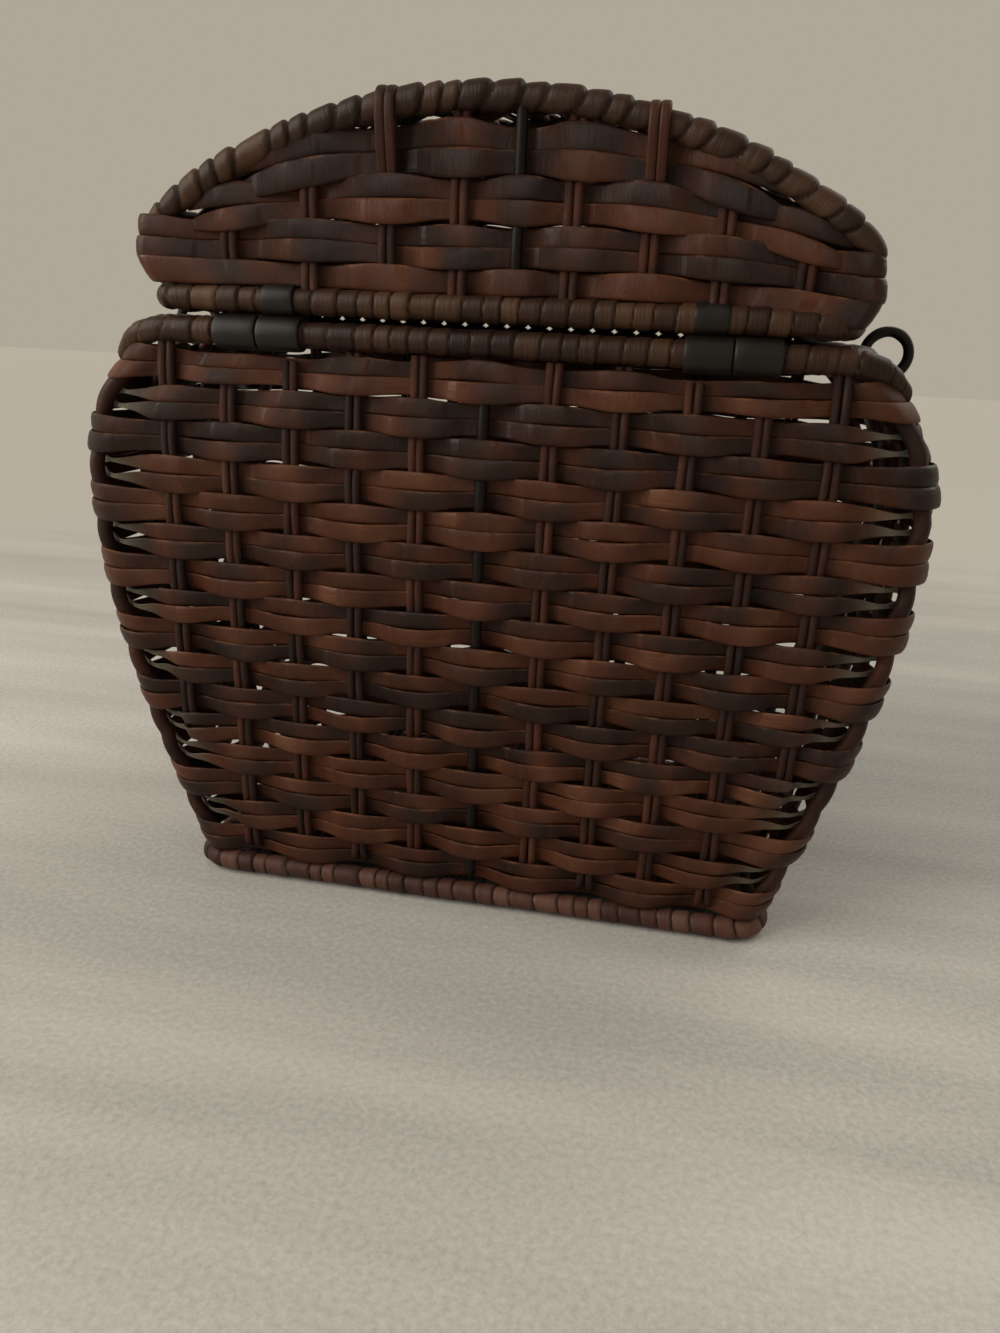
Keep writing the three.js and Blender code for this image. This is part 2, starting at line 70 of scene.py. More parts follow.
class Body(Enum):
    """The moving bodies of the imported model."""

    BASKET = "basket"
    LID = "lid"
    RING_LEFT = "ring_left"
    RING_RIGHT = "ring_right"


class Face(Enum):
    """The two long faces, by their sign on Y."""

    BACK = -1
    FRONT = 1

    @property
    def word(self) -> str:
        """The face as it stands in the names of nodes and pieces."""
        return self.name.lower()


class Seed(IntEnum):
    """First seed of each kind of random draw."""

    RING = 5
    MOUTH_RIM = 31
    FOOT_RIM = 47
    LID_RIM = 53
    SHOULDER = 60
    ARCH = 61
    STRAP = 84
    LID_ROW = 300
    LID_REED = 340
    BAND_SWAY = 380
    BAND = 390
    ROW_SWAY = 400
    VAULT_ROW = 500
    VAULT_REED = 560
    CENTRE_ROD = 700
    SIDE_REED = 720
    OUTER_REED = 760
    END_REED = 800
    CORNER_REED = 830
    BASE_STRIP = 900


@dataclass(frozen=True)
class Wander:
    """A smooth seeded drift along a run, as a sum of whole cosine waves."""

    size: float
    shortest: float
    longest: float

    def along(self, s: Array, length: float, seed: int) -> Array:
        """Drift at each place of a run: cosines of random phase and weight, scaled to the wanted spread.

        Args:
            s: Places along the run, in millimetres.
            length: Length of the run, which holds whole waves, so that a closed run meets itself.
            seed: Seed of the phases and weights.

        Returns:
            One value for each place, with a spread of about the wander's size.
        """
        rng = np.random.default_rng(seed)
        low = max(1, round(length / self.longest))
        counts = np.arange(low, max(low + 1, round(length / self.shortest)) + 1)
        phases = rng.uniform(0, TURN, counts.size)
        weights = rng.normal(size=counts.size)
        waves = np.cos(TURN * np.outer(s / length, counts) + phases)
        return self.size * (waves @ weights) / np.sqrt((weights ** 2).sum() / 2)


def box_mm(node: str) -> tuple[Array, Array]:
    """Lowest and highest corner of a node's box, in millimetres."""
    low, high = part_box(node)
    return np.array(low) / MM, np.array(high) / MM


def xyz(x: float | Array, y: float | Array, z: float | Array) -> Array:
    """Points from their coordinates, each one value for all points or one for each."""
    return np.stack(np.broadcast_arrays(x, y, z), -1)


def unit(vectors: Array) -> Array:
    """Vectors scaled to length one, along the last axis."""
    return vectors / np.linalg.norm(vectors, axis=-1, keepdims=True)


def distances(points: Array) -> Array:
    """Distance of each point of a polyline from its start, along the line."""
    steps = np.linalg.norm(np.diff(points, axis=0), axis=-1)
    return np.concatenate([[0.0], np.cumsum(steps)])


def resample(points: Array, step: float, closed: bool = False) -> Array:
    """A polyline read again at even distances, by linear interpolation along its length.

    Args:
        points: Points of the line, one row each.
        step: Wanted distance between the new points.
        closed: Whether the line returns to its first point, which is then left off the end.

    Returns:
        The new points, one row each.
    """
    line = np.vstack([points, points[:1]]) if closed else points
    s = distances(line)
    count = max(3, round(s[-1] / step))
    at = np.linspace(0, s[-1], count, endpoint=not closed)
    return np.stack([np.interp(at, s, line[:, i]) for i in range(line.shape[1])], -1)


def soften(points: Array, reach: int) -> Array:
    """A line rounded off: each point becomes the mean of its neighbours under a raised-cosine window.

    Args:
        points: Points of an open line at even distances.
        reach: How many neighbours on each side count.

    Returns:
        The rounded line, with its two ends kept.
    """
    window = np.hanning(2 * reach + 3)[1:-1]
    window /= window.sum()
    before = 2 * points[:1] - points[reach:0:-1]
    after = 2 * points[-1:] - points[-2:-reach - 2:-1]
    line = np.vstack([before, points, after])
    return np.stack([np.convolve(line[:, i], window, "valid") for i in range(line.shape[1])], -1)


def rounded_plan(half: float, low: float, high: float, corner: float, z: float) -> Array:
    """A rounded rectangle in plan, counter-clockwise from the middle of its low side.

    Args:
        half: Half size along X.
        low: Lowest Y.
        high: Highest Y.
        corner: Radius of the corners.
        z: Height.

    Returns:
        Points of the closed line, one row each.
    """
    turn = np.radians(np.linspace(0, 90, ARC_POINTS))
    centres = [(half - corner, low + corner, -90), (half - corner, high - corner, 0),
               (corner - half, high - corner, 90), (corner - half, low + corner, 180)]
    arcs = [np.stack([x + corner * np.cos(turn + np.radians(start)),
                      y + corner * np.sin(turn + np.radians(start))], -1) for x, y, start in centres]
    return xyz(*np.vstack([[(0.0, low)], *arcs]).T, z)


def oval(half_across: float, half_along: float, sides: int, power: float = 2.0) -> Array:
    """A superellipse: cosine and sine of the angle, each raised to two over the power, signs kept.

    Args:
        half_across: Half size across.
        half_along: Half size along.
        sides: How many points it has.
        power: 2 for an ellipse, more for a squarer shape.

    Returns:
        Points of the closed line, one row each.
    """
    angle = TURN * (np.arange(sides) + 0.5) / sides
    round_off = 2 / power
    across = np.sign(np.cos(angle)) * np.abs(np.cos(angle)) ** round_off
    along = np.sign(np.sin(angle)) * np.abs(np.sin(angle)) ** round_off
    return np.stack([half_across * across, half_along * along], -1)


def sweep(path: Array, normal: Array, section: Array, closed: bool = False) -> Array:
    """A section carried along a path: each ring is the point plus across times u plus normal times v.

    Args:
        path: Points of the path, one row each.
        normal: A direction square to the path all along it.
        section: Section points (u, v), one set for the whole path or one set for each point.
        closed: Whether the path returns to its start.

    Returns:
        Rings of points, as an array of path points, section points and coordinates.
    """
    if closed:
        tangent = np.roll(path, -1, 0) - np.roll(path, 1, 0)
    else:
        tangent = np.gradient(path, axis=0)
    across = unit(np.cross(normal, unit(tangent)))
    section = np.broadcast_to(section, (len(path), *section.shape[-2:]))
    return path[:, None] + across[:, None] * section[..., :1] + normal * section[..., 1:]


class Skin:
    """A mesh gathered from tubes of points, with a UV map in metres and three numbers at each point."""

    def __init__(self) -> None:
        """Starts an empty skin."""
        self.points: list[Array] = []
        self.numbers: dict[str, list[Array]] = {"tint": [], "edge": [], "bare": []}
        self.faces: list[Array] = []
        self.uvs: list[Array] = []
        self.caps: list[Array] = []
        self.cap_uvs: list[Array] = []
        self.count = 0

    def tube(self, rings: Array, closed: bool = False, tint: float | Array = 0.5,
             edge: float | Array = 0.0, bare: float | Array = 0.0) -> None:
        """Adds a tube of quads between rings of points, closed on itself or capped, facing outwards.

        Args:
            rings: Rings of points, as an array of rings, points and coordinates.
            closed: Whether the last ring joins the first.
            tint: How light the stain is, from 0 to 1, for all or for each point.
            edge: How worn the surface is, with a painted highlight on splints' upper edges, from 0 to 1, for
                all or for each point.
            bare: How far the stain is missing, from 0 to 1, for all or for each point.
        """
        n, m = rings.shape[:2]
        i = np.arange(n if closed else n - 1)[:, None]
        j = np.arange(m)[None, :]
        here, after = i * m, ((i + 1) % n) * m
        quads = np.stack([here + j, here + (j + 1) % m, after + (j + 1) % m, after + j], -1).reshape(-1, 4)
        middle = rings.mean(1)
        u = distances(np.vstack([middle, middle[:1]])) * MM
        ring = rings[n // 2]
        v = distances(np.vstack([ring, ring[:1]])) * MM
        i, j = np.broadcast_arrays(i, j)
        uv = np.stack([np.stack([u[a], v[b]], -1) for a, b in
                       ((i, j), (i, j + 1), (i + 1, j + 1), (i + 1, j))], -2).reshape(-1, 4, 2)
        flat = rings.reshape(-1, 3)
        a, b, c, d = (flat[quads[:, q]] - flat.mean(0) for q in range(4))
        volume = (np.cross(a, b) * c).sum() + (np.cross(a, c) * d).sum()
        caps = [] if closed else [np.arange(m)[::-1], (n - 1) * m + np.arange(m)]
        if volume < 0:
            quads, uv = quads[:, ::-1], uv[:, ::-1]
            caps = [cap[::-1] for cap in caps]
        self.faces.append(quads + self.count)
        self.uvs.append(uv)
        for cap, along in zip(caps, (u[0], u[n - 1])):
            self.caps.append(cap + self.count)
            self.cap_uvs.append(np.stack([np.full(m, along), v[cap % m]], -1))
        self.points.append(flat)
        for kept, value in zip(self.numbers.values(), (tint, edge, bare)):
            kept.append(np.broadcast_to(np.asarray(value, float), (n, m)).reshape(-1))
        self.count += n * m

    def build(self, name: str, material: bpy.types.Material,
              place: Callable[[Array], Array] | None = None) -> bpy.types.Object:
        """Puts the gathered tubes into one mesh object.

        Args:
            name: Name of the piece.
            material: Its material.
            place: Carries the points from a sub-assembly's own frame to the basket's frame.

        Returns:
            The object, at the origin, linked to the scene.
        """
        points = np.vstack(self.points)
        points = (place(points) if place else points) * MM
        quads = np.vstack(self.faces)
        loops = np.concatenate([quads.reshape(-1), *self.caps])
        totals = np.concatenate([np.full(len(quads), 4), [len(cap) for cap in self.caps]]).astype(np.int32)
        uvs = np.vstack([np.concatenate(self.uvs).reshape(-1, 2), *self.cap_uvs])
        mesh = bpy.data.meshes.new(name)
        mesh.vertices.add(len(points))
        mesh.vertices.foreach_set("co", points.astype(np.float32).reshape(-1))
        mesh.loops.add(len(loops))
        mesh.loops.foreach_set("vertex_index", loops.astype(np.int32))
        mesh.polygons.add(len(totals))
        starts = np.concatenate([[0], np.cumsum(totals)[:-1]]).astype(np.int32)
        mesh.polygons.foreach_set("loop_start", starts)
        mesh.polygons.foreach_set("use_smooth", totals == 4)
        mesh.uv_layers.new(name="run").data.foreach_set("uv", uvs.astype(np.float32).reshape(-1))
        for label, values in self.numbers.items():
            layer = mesh.attributes.new(label, "FLOAT", "POINT")
            layer.data.foreach_set("value", np.concatenate(values).astype(np.float32))
        mesh.update(calc_edges=True)
        mesh.validate()
        mesh.materials.append(material)
        made = bpy.data.objects.new(name, mesh)
        bpy.context.scene.collection.objects.link(made)
        return made


class Shade:
    """A node socket that takes part in Python expressions: each operator adds a Math node."""

    def __init__(self, tree: "Tree", socket: bpy.types.NodeSocket | None) -> None:
        """Wraps a socket of a tree."""
        self.tree = tree
        self.socket = socket

    def _math(self, operation: str, *values: "Shade | float") -> "Shade":
        """A Math node of one operation on these values, in their order."""
        return self.tree.node("ShaderNodeMath", {"operation": operation}, dict(enumerate(values)))

    def __add__(self, other: "Shade | float") -> "Shade":
        """Sum."""
        return self._math("ADD", self, other)

    def __sub__(self, other: "Shade | float") -> "Shade":
        """Difference."""
        return self._math("SUBTRACT", self, other)

    def __mul__(self, other: "Shade | float") -> "Shade":
        """Product."""
        return self._math("MULTIPLY", self, other)

    __radd__, __rmul__ = __add__, __mul__

    def between(self, low: float, high: float) -> "Shade":
        """How far the value is from low to high, from 0 to 1, eased at both ends."""
        return self.tree.node("ShaderNodeMapRange", {"interpolation_type": "SMOOTHSTEP"},
                              {"Value": self, "From Min": low, "From Max": high})


class Tree:
    """The node tree of one material or world, filled through one method."""

    def __init__(self, owner: bpy.types.Material | bpy.types.World) -> None:
        """Starts an empty tree.

        Args:
            owner: The material or world that the tree belongs to.
        """
        owner.use_nodes = True
        self.owner = owner
        self.tree = owner.node_tree
        self.tree.nodes.clear()

    def node(self, kind: str, settings: dict | None = None, inputs: dict | None = None,
             output: int | str = 0) -> Shade:
        """Adds a node: first its settings, then the values or links of its sockets.

        Args:
            kind: Blender's name of the node type.
            settings: Properties of the node, and "stops" for the (place, colour) stops of a ramp.
            inputs: Values or shades by socket name or number.
            output: Name or number of the socket that is returned.

        Returns:
            The chosen output, which is empty for a node that ends a tree.
        """
        made = self.tree.nodes.new(kind)
        for key, value in (settings or {}).items():
            if key == "stops":
                ramp = made.color_ramp
                while len(ramp.elements) < len(value):
                    ramp.elements.new(1.0)
                for element, (place, color) in zip(ramp.elements, value):
                    element.position = place
                    element.color = (*color, 1.0)
            else:
                setattr(made, key, value)
        for key, value in (inputs or {}).items():
            if isinstance(value, Shade):
                self.tree.links.new(value.socket, made.inputs[key])
            else:
                made.inputs[key].default_value = value
        return Shade(self, made.outputs[output] if made.outputs else None)

    def mix(self, factor: Shade | float, a: Shade | tuple, b: Shade | tuple) -> Shade:
        """A Mix node on colours.

        Args:
            factor: Share of the second colour.
            a: The first colour.
            b: The second colour.

        Returns:
            The mixed colour.
        """
        color_a, color_b, result = 6, 7, 2
        wide = [c if isinstance(c, Shade) else (*c, 1.0) for c in (a, b)]
        return self.node("ShaderNodeMix", {"data_type": "RGBA"},
                         {0: factor, color_a: wide[0], color_b: wide[1]}, result)

    def noise(self, vector: Shade, scale: float, detail: float, roughness: float) -> Shade:
        """Fractal noise at a scale, from 0 to 1."""
        return self.node("ShaderNodeTexNoise", {"noise_dimensions": "3D"},
                         {"Vector": vector, "Scale": scale, "Detail": detail, "Roughness": roughness})

    def stretched(self, vector: Shade, scale: tuple) -> Shade:
        """A vector with each coordinate multiplied."""
        return self.node("ShaderNodeVectorMath", {"operation": "MULTIPLY"}, {0: vector, 1: scale})

    def attribute(self, name: str) -> Shade:
        """A number that the mesh holds at each point."""
        return self.node("ShaderNodeAttribute", {"attribute_name": name}, output="Fac")

    def place(self) -> Shade:
        """Object coordinates, which are metres in the basket's frame."""
        return self.node("ShaderNodeTexCoord", output="Object")

    def bump(self, height: Shade, strength: float, distance: float) -> Shade:
        """A normal tipped by a height field."""
        return self.node("ShaderNodeBump", None,
                         {"Height": height, "Strength": strength, "Distance": distance})

    def surface(self, inputs: dict) -> bpy.types.Material:
        """Ends the tree in a Principled surface.

        Args:
            inputs: Values or shades of the surface's sockets.

        Returns:
            The material.
        """
        shader = self.node("ShaderNodeBsdfPrincipled", None, inputs)
        self.node("ShaderNodeOutputMaterial", None, {"Surface": shader})
        return self.owner


@dataclass(frozen=True)
class StainedWood:
    """Stained splint, reed or cane: fibres along the run, blotches of stain, and paler edges, from wear and,
    on splints' upper edges, a painted highlight.
    """

    name: str
    deep: tuple
    mid: tuple
    warm: tuple
    pale: tuple
    worn: tuple
    raw: tuple = (0.135, 0.125, 0.092)
    fibre: tuple = (26.0, 640.0, 1.0)
    # How far the paler tone goes: wear, and on splints' upper edges also a painted highlight
    wear: float = 0.5
    roughness: float = 0.36
    relief: float = 0.6
    relief_depth: float = 0.0006
    gloss: float = 0.2
    # How far the tint shifts the fibres, and the scale, detail and roughness of each noise
    shift: tuple = (3.1, 1.7, 9.0)
    fibre_noise: tuple = (1.0, 4.0, 0.62)
    blotch_noise: tuple = (62.0, 3.0, 0.6)
    cloud_noise: tuple = (11.0, 2.0, 0.5)
    rub_noise: tuple = (120.0, 2.0, 0.6)
    # Shares of tint, blotches, fibres and clouds in the tone, what is taken off it, and the ramp's places
    shares: tuple = (0.56, 0.44, 0.42, 0.36)
    tone_drop: float = 0.39
    stops: tuple = (0.12, 0.42, 0.66, 0.95)
    # Where rubbing and wear begin and end, and how far rubbing adds to worn and painted-highlight edges and
    # fibres to bare places
    rub_span: tuple = (0.42, 0.72)
    wear_span: tuple = (0.15, 1.15)
    edge_shares: tuple = (0.25, 0.9)
    bare_shares: tuple = (0.45, 0.8)
    # Shares of fibres and blotches in the roughness, with what is taken off it, and in the relief
    rough_shares: tuple = (0.22, 0.14, 0.14)
    relief_shares: tuple = (0.7, 0.3)

    def material(self) -> bpy.types.Material:
        """Builds the material: a stain ramp driven by tint, blotches and fibres, paled at worn edges and at
        painted edge highlights.

        Returns:
            The material.
        """
        tree = Tree(bpy.data.materials.new(self.name))
        tint, edge, bare = (tree.attribute(name) for name in ("tint", "edge", "bare"))
        place = tree.place()
        by_axis = {axis: tint * by for axis, by in zip("XYZ", self.shift)}
        shift = tree.node("ShaderNodeCombineXYZ", None, by_axis)
        uv = tree.node("ShaderNodeUVMap", {"uv_map": "run"})
        run = tree.node("ShaderNodeVectorMath", {"operation": "ADD"}, {0: uv, 1: shift})
        fibre = tree.noise(tree.stretched(run, self.fibre), *self.fibre_noise)
        blotch, cloud, rub = (tree.noise(place, *noise) for noise in
                              (self.blotch_noise, self.cloud_noise, self.rub_noise))
        by_tint, by_blotch, by_fibre, by_cloud = self.shares
        tone = tint * by_tint + blotch * by_blotch + fibre * by_fibre + cloud * by_cloud - self.tone_drop
        colors = (self.deep, self.mid, self.warm, self.pale)
        stain = tree.node("ShaderNodeValToRGB", {"stops": list(zip(self.stops, colors))}, {0: tone})
        least, gain = self.edge_shares
        worn = (edge * (least + rub.between(*self.rub_span) * gain)).between(*self.wear_span) * self.wear
        least, gain = self.bare_shares
        color = tree.mix(bare * (least + fibre * gain), tree.mix(worn, stain, self.worn), self.raw)
        by_fibre, by_blotch, drop = self.rough_shares
        rough = self.roughness + fibre * by_fibre + blotch * by_blotch - drop
        by_fibre, by_blotch = self.relief_shares
        normal = tree.bump(fibre * by_fibre + blotch * by_blotch, self.relief, self.relief_depth)
        return tree.surface({"Base Color": color, "Roughness": rough, "Normal": normal,
                             "Specular IOR Level": self.gloss})


@dataclass(frozen=True)
class BlackCoat:
    """A smooth black coat on rod, strap or iron, rubbed to its ground in places."""

    name: str
    color: tuple
    rubbed: tuple
    roughness: float
    grain: float
    metallic: float = 0.0
    rub: float = 0.35
    gloss: float = 0.3
    # Scale, detail and roughness of the patches, and detail and roughness of the grain
    patch_noise: tuple = (95.0, 4.0, 0.62)
    grain_noise: tuple = (2.0, 0.5)
    # Share of the edges in rubbed places, where these begin and end, and the patches' share in the roughness
    edge_share: float = 0.35
    rub_span: tuple = (0.5, 0.85)
    rough_share: float = 0.2
    rough_drop: float = 0.08
    relief: float = 0.22
    relief_depth: float = 0.0005

    def material(self) -> bpy.types.Material:
        """Builds the material: black, with rubbed patches and edges, and a fine grain.

        Returns:
            The material.
        """
        tree = Tree(bpy.data.materials.new(self.name))
        place = tree.place()
        patch = tree.noise(place, *self.patch_noise)
        grain = tree.noise(place, self.grain, *self.grain_noise)
        edge = tree.attribute("edge")
        rub = (patch + edge * self.edge_share).between(*self.rub_span) * self.rub
        color = tree.mix(rub, self.color, self.rubbed)
        rough = self.roughness + patch * self.rough_share - self.rough_drop
        normal = tree.bump(grain * 0.5 + patch * 0.5, self.relief, self.relief_depth)
        return tree.surface({"Base Color": color, "Roughness": rough, "Normal": normal,
                             "Metallic": self.metallic, "Specular IOR Level": self.gloss})


SPLINT = StainedWood("stained splint", (0.0087, 0.0033, 0.0018), (0.025, 0.0091, 0.0045),
                     (0.066, 0.0188, 0.0073), (0.12, 0.048, 0.022), (0.27, 0.104, 0.037))
REED = StainedWood("stained reed", (0.0068, 0.0025, 0.0015), (0.025, 0.0074, 0.0035),
                   (0.058, 0.016, 0.0068), (0.095, 0.036, 0.018), (0.16, 0.066, 0.03),
                   fibre=(30.0, 1100.0, 1.0), wear=0.3, roughness=0.44)
CANE = StainedWood("stained cane winding", (0.0105, 0.0047, 0.0024), (0.034, 0.0148, 0.0072),
                   (0.07, 0.0335, 0.016), (0.135, 0.075, 0.037), (0.23, 0.13, 0.06),
                   fibre=(1200.0, 60.0, 1.0), wear=0.42, roughness=0.4)
FOOT_CANE = StainedWood("stained foot winding", (0.013, 0.0053, 0.0036), (0.046, 0.0185, 0.0125),
                        (0.085, 0.036, 0.024), (0.15, 0.075, 0.05), (0.23, 0.125, 0.08),
                        fibre=(1200.0, 60.0, 1.0), wear=0.45, roughness=0.5)
LACQUER = BlackCoat("black lacquered rod", (0.0062, 0.0036, 0.0024), (0.03, 0.0125, 0.006),
                    roughness=0.46, grain=500.0, gloss=0.16)
STRAP = BlackCoat("black hinge band", (0.0072, 0.0056, 0.004), (0.03, 0.023, 0.016),
                  roughness=0.42, grain=900.0, gloss=0.28)
IRON = BlackCoat("blackened iron", (0.012, 0.0098, 0.0078), (0.06, 0.047, 0.035),
                 roughness=0.42, grain=1400.0, metallic=0.6)


def run_ends(a: float, b: float, corner: float) -> Array:
    """Distances round a rounded rectangle from the middle of its back, going right, to each end of a run.

    Args:
        a: Half size along X to the corners' centres.
        b: Half size along Y to the corners' centres.
        corner: Radius that the corners are walked at.

    Returns:
        Ten distances, from 0 to the whole way round.
    """
    q = np.pi / 2 * corner
    return np.concatenate([[0], np.cumsum([a, q, 2 * b, q, 2 * a, q, 2 * b, q, a])])


def places_round(breaks: Array, x: Array, y: Array) -> Array:
    """Where stakes at these X on both long walls and these Y on both end walls stand along a row."""
    right, front, left = (breaks[2:-2:2] + breaks[3:-1:2]) / 2
    return np.concatenate([x % breaks[-1], right + y, front - x, left - y])


def loop_frames(centres: Callable[[Array], tuple[Array, Array]], corner: float, z: Array, s: Array,
                breaks: Array) -> tuple[Array, Array, Array]:
    """Places and directions round a wall whose plan is a rounded rectangle that changes with height.

    The place is the corner's centre, slid along the straight runs, plus the corner radius along the
    outward direction. The rising direction is the change of the place with height.

    Args:
        centres: Gives the corners' centres, along X and along Y, at each height.
        corner: Radius of the corners.
        z: Height at each place.
        s: Distance from the middle of the back, going right.
        breaks: Ends of the runs, from run_ends.

    Returns:
        Points, outward directions and rising directions.
    """
    fx = np.interp(s, breaks, [0, 1, 1, 1, 1, -1, -1, -1, -1, 0])
    fy = np.interp(s, breaks, [-1, -1, -1, 1, 1, 1, 1, -1, -1, -1])
    angle = np.radians(np.interp(s, breaks, [-90, -90, 0, 0, 90, 90, 180, 180, 270, 270]))
    outward = xyz(np.cos(angle), np.sin(angle), 0.0)

    def at(height: Array) -> Array:
        """Points of the wall at these heights."""
        a, b = centres(height)
        return xyz(fx * a, fy * b, height) + corner * outward

    return at(z), outward, unit(at(z + 1) - at(z - 1))


@dataclass(frozen=True)
class WallForm:
    """The wall's middle surface: half sizes at each height, from the rim's and the foot's nodes."""

    rim_half_width: float
    rim_half_depth: float
    rim_height: float
    rim_flat: float
    foot_top: float
    foot_set_in: tuple = (9.0, 3.0)
    belly_bulge: tuple = (29.0, 3.5)
    seat_bulge: tuple = (5.0, 0.2)
    belly_drop: float = 57.0
    seat_drop: float = 3.6
    shoulder_power: float = 2.3
    shoulder_end: float = 1.2
    corner: float = 14.0

    @classmethod
    def measured(cls) -> "WallForm":
        """Takes the rim's axis and the foot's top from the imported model.

        Returns:
            The wall's form.
        """
        low, high = box_mm("body_rim")
        flat = (high[2] - low[2]) / 2
        foot_top = box_mm("foot_rim")[1][2]
        return cls(high[0] - flat, high[1] - flat, (low[2] + high[2]) / 2, flat, foot_top)

    def _half(self, axis: int, z: Array) -> Array:
        """A sine rise from the foot to the belly, then a power law that turns in to the rim seat.

        Args:
            axis: 0 along X, 1 along Y.
            z: Heights.

        Returns:
            Half size at each height.
        """
        rim = (self.rim_half_width, self.rim_half_depth)[axis]
        foot, belly = rim - self.foot_set_in[axis], rim + self.belly_bulge[axis]
        seat = rim + self.seat_bulge[axis]
        waist = self.rim_height - self.belly_drop
        rise = np.clip((z - self.foot_top) / (waist - self.foot_top), 0, 1)
        turn = np.clip((z - waist) / (self.rim_height - self.seat_drop - waist), 0, self.shoulder_end)
        low = foot + (belly - foot) * np.sin(rise * np.pi / 2)
        return np.where(z < waist, low, belly - (belly - seat) * turn ** self.shoulder_power)

    def half_width(self, z: Array) -> Array:
        """Half size along X at each height."""
        return self._half(0, np.asarray(z, float))

    def half_depth(self, z: Array) -> Array:
        """Half size along Y at each height."""
        return self._half(1, np.asarray(z, float))

    def centres(self, z: Array) -> tuple[Array, Array]:
        """Where the corners' centres lie at each height, along X and along Y."""
        return self.half_width(z) - self.corner, self.half_depth(z) - self.corner

    def breaks(self, z: float) -> Array:
        """Distances from the middle of the back, going right, to each end of a run or corner."""
        return run_ends(*(float(centre) for centre in self.centres(z)), self.corner)


@dataclass(frozen=True)
class SplintPair:
    """A row of weave: two flat splints, one over the other, that pass the stakes on alternate sides."""

    pinched: float
    spread: float
    thickness: float = 1.15
    crown: float = 0.55
    sides: int = 14
    section_power: float = 3.2
    gap: float = 0.06
    fill: float = 0.22
    lap: float = 0.35
    tilt: float = 0.06
    tone: tuple = (0.2, 0.85)
    # How steeply wear and painted highlight gather at the edges, their share at the lower edge, and the worn
    # places beside stakes
    edge_power: int = 6
    low_edge: float = 0.3
    end_reach: float = 0.018
    end_gain: float = 3.0
    end_floor: float = 0.6
    sway: Wander = Wander(0.16, 45, 260)
    swell: Wander = Wander(0.22, 28, 120)
    twist: Wander = Wander(0.05, 30, 140)
    shade: Wander = Wander(0.17, 24, 300)
    fray: Wander = Wander(0.5, 24, 90)

    @staticmethod
    def interlace(s: Array, places: Array, offsets: Array, length: float, closed: bool,
                  flat: float = 0.1, run_on: float = 12.0) -> Array:
        """Offset along the run: it eases from one stake's side to the next stake's, flat over each.

        Args:
            s: Places along the run.
            places: Where the stakes stand along the run.
            offsets: Offset at each stake, outside or inside.
            length: Length of the run.
            closed: Whether the run meets itself.
            flat: Share of the way to the next stake that stays level at each stake.
            run_on: How far past its ends an open run would be back in the middle.

        Returns:
            The offset at each place.
        """
        order = np.argsort(places)
        p, o = np.asarray(places, float)[order], np.asarray(offsets, float)[order]
        if closed:
            p = np.concatenate([[p[-1] - length], p, [p[0] + length]])
            o = np.concatenate([[o[-1]], o, [o[0]]])
        else:
            p = np.concatenate([[min(0, p[0]) - run_on], p, [max(length, p[-1]) + run_on]])
            o = np.concatenate([[0], o, [0]])
        i = np.clip(np.searchsorted(p, s, side="right") - 1, 0, len(p) - 2)
        t = np.clip(((s - p[i]) / (p[i + 1] - p[i]) - flat) / (1 - 2 * flat), 0, 1)
        return o[i] + (o[i + 1] - o[i]) * t * t * (3 - 2 * t)

    def add(self, skin: Skin, base: Array, outward: Array, across: Array, offset: Array, closed: bool,
            seed: int, squeeze: float | Array = 1.0, single: bool = False,
            taper: float | Array = 1.0, bare: float | Array = 0.0) -> None:
        """Adds both splints of a row.

        Each section is a crowned superellipse. The row is as high as the spread where it floats outside,
        and pinched where it goes behind a stake. Each splint takes half of that height, tips its upper edge
        out, and the lower one laps the upper one a little.

        Args:
            skin: The skin that takes the tubes.
            base: Middle of the row at each place.
            outward: Direction out of the weave at each place.
            across: Direction across the row, in the weave, at each place.
            offset: Offset out of the weave at each place.
            closed: Whether the row meets itself.
            seed: Seed of the row's sway, swell and stain.
            squeeze: Share of the height that the row may take.
            single: Whether the row is one splint instead of two.
            taper: Share of each splint's own height that is left where it turns on edge.
            bare: How far the stain is missing at each place.
        """
        line = np.vstack([base, base[:1]]) if closed else base
        s = distances(line)
        length = s[-1]
        s = s[:len(base)]
        top = np.abs(offset).max()
        out = np.clip((offset / top + 1) / 2, 0, 1)
        section = oval(1.0, 1.0, self.sides, self.section_power)
        flat, thick = section[:, 1][None], section[:, 0][None]
        rng = np.random.default_rng(seed)
        for part in ([0.0] if single else [1.0, -1.0]):
            # Each row has ten seeds, and each drift of a splint takes its own from here
            own = seed * 10 + int(part) + 2
            full = out * (self.fill + (1 - self.fill) * out)
            height = self.pinched + (self.spread - self.pinched) * full + self.swell.along(s, length, own)
            height = height * squeeze * (0.5 if single else 1.0)
            lower = self.lap * (part < 0)
            half = ((height / (2 if single else 4) - self.gap + lower / 2) * taper)[:, None]
            middle = part * height / 4 + lower / 2 + self.sway.along(s, length, own + 3)
            tip = self.tilt + self.twist.along(s, length, own + 5)[:, None]
            lean = tip * half * flat
            up = middle[:, None] + half * flat
            bulge = self.crown * (2 * out - 1)[:, None] * (1 - flat ** 2)
            depth = offset[:, None] + lower + self.thickness / 2 * thick + bulge + lean
            rings = base[:, None] + outward[:, None] * depth[..., None] + across[:, None] * up[..., None]
            tint = rng.uniform(*self.tone) + self.shade.along(s, length, own + 7)
            frayed = np.clip(self.end_gain * self.fray.along(s, length, own + 9) - self.end_floor, 0, 1)
            ends = np.exp(-(out / self.end_reach) ** 2) * frayed
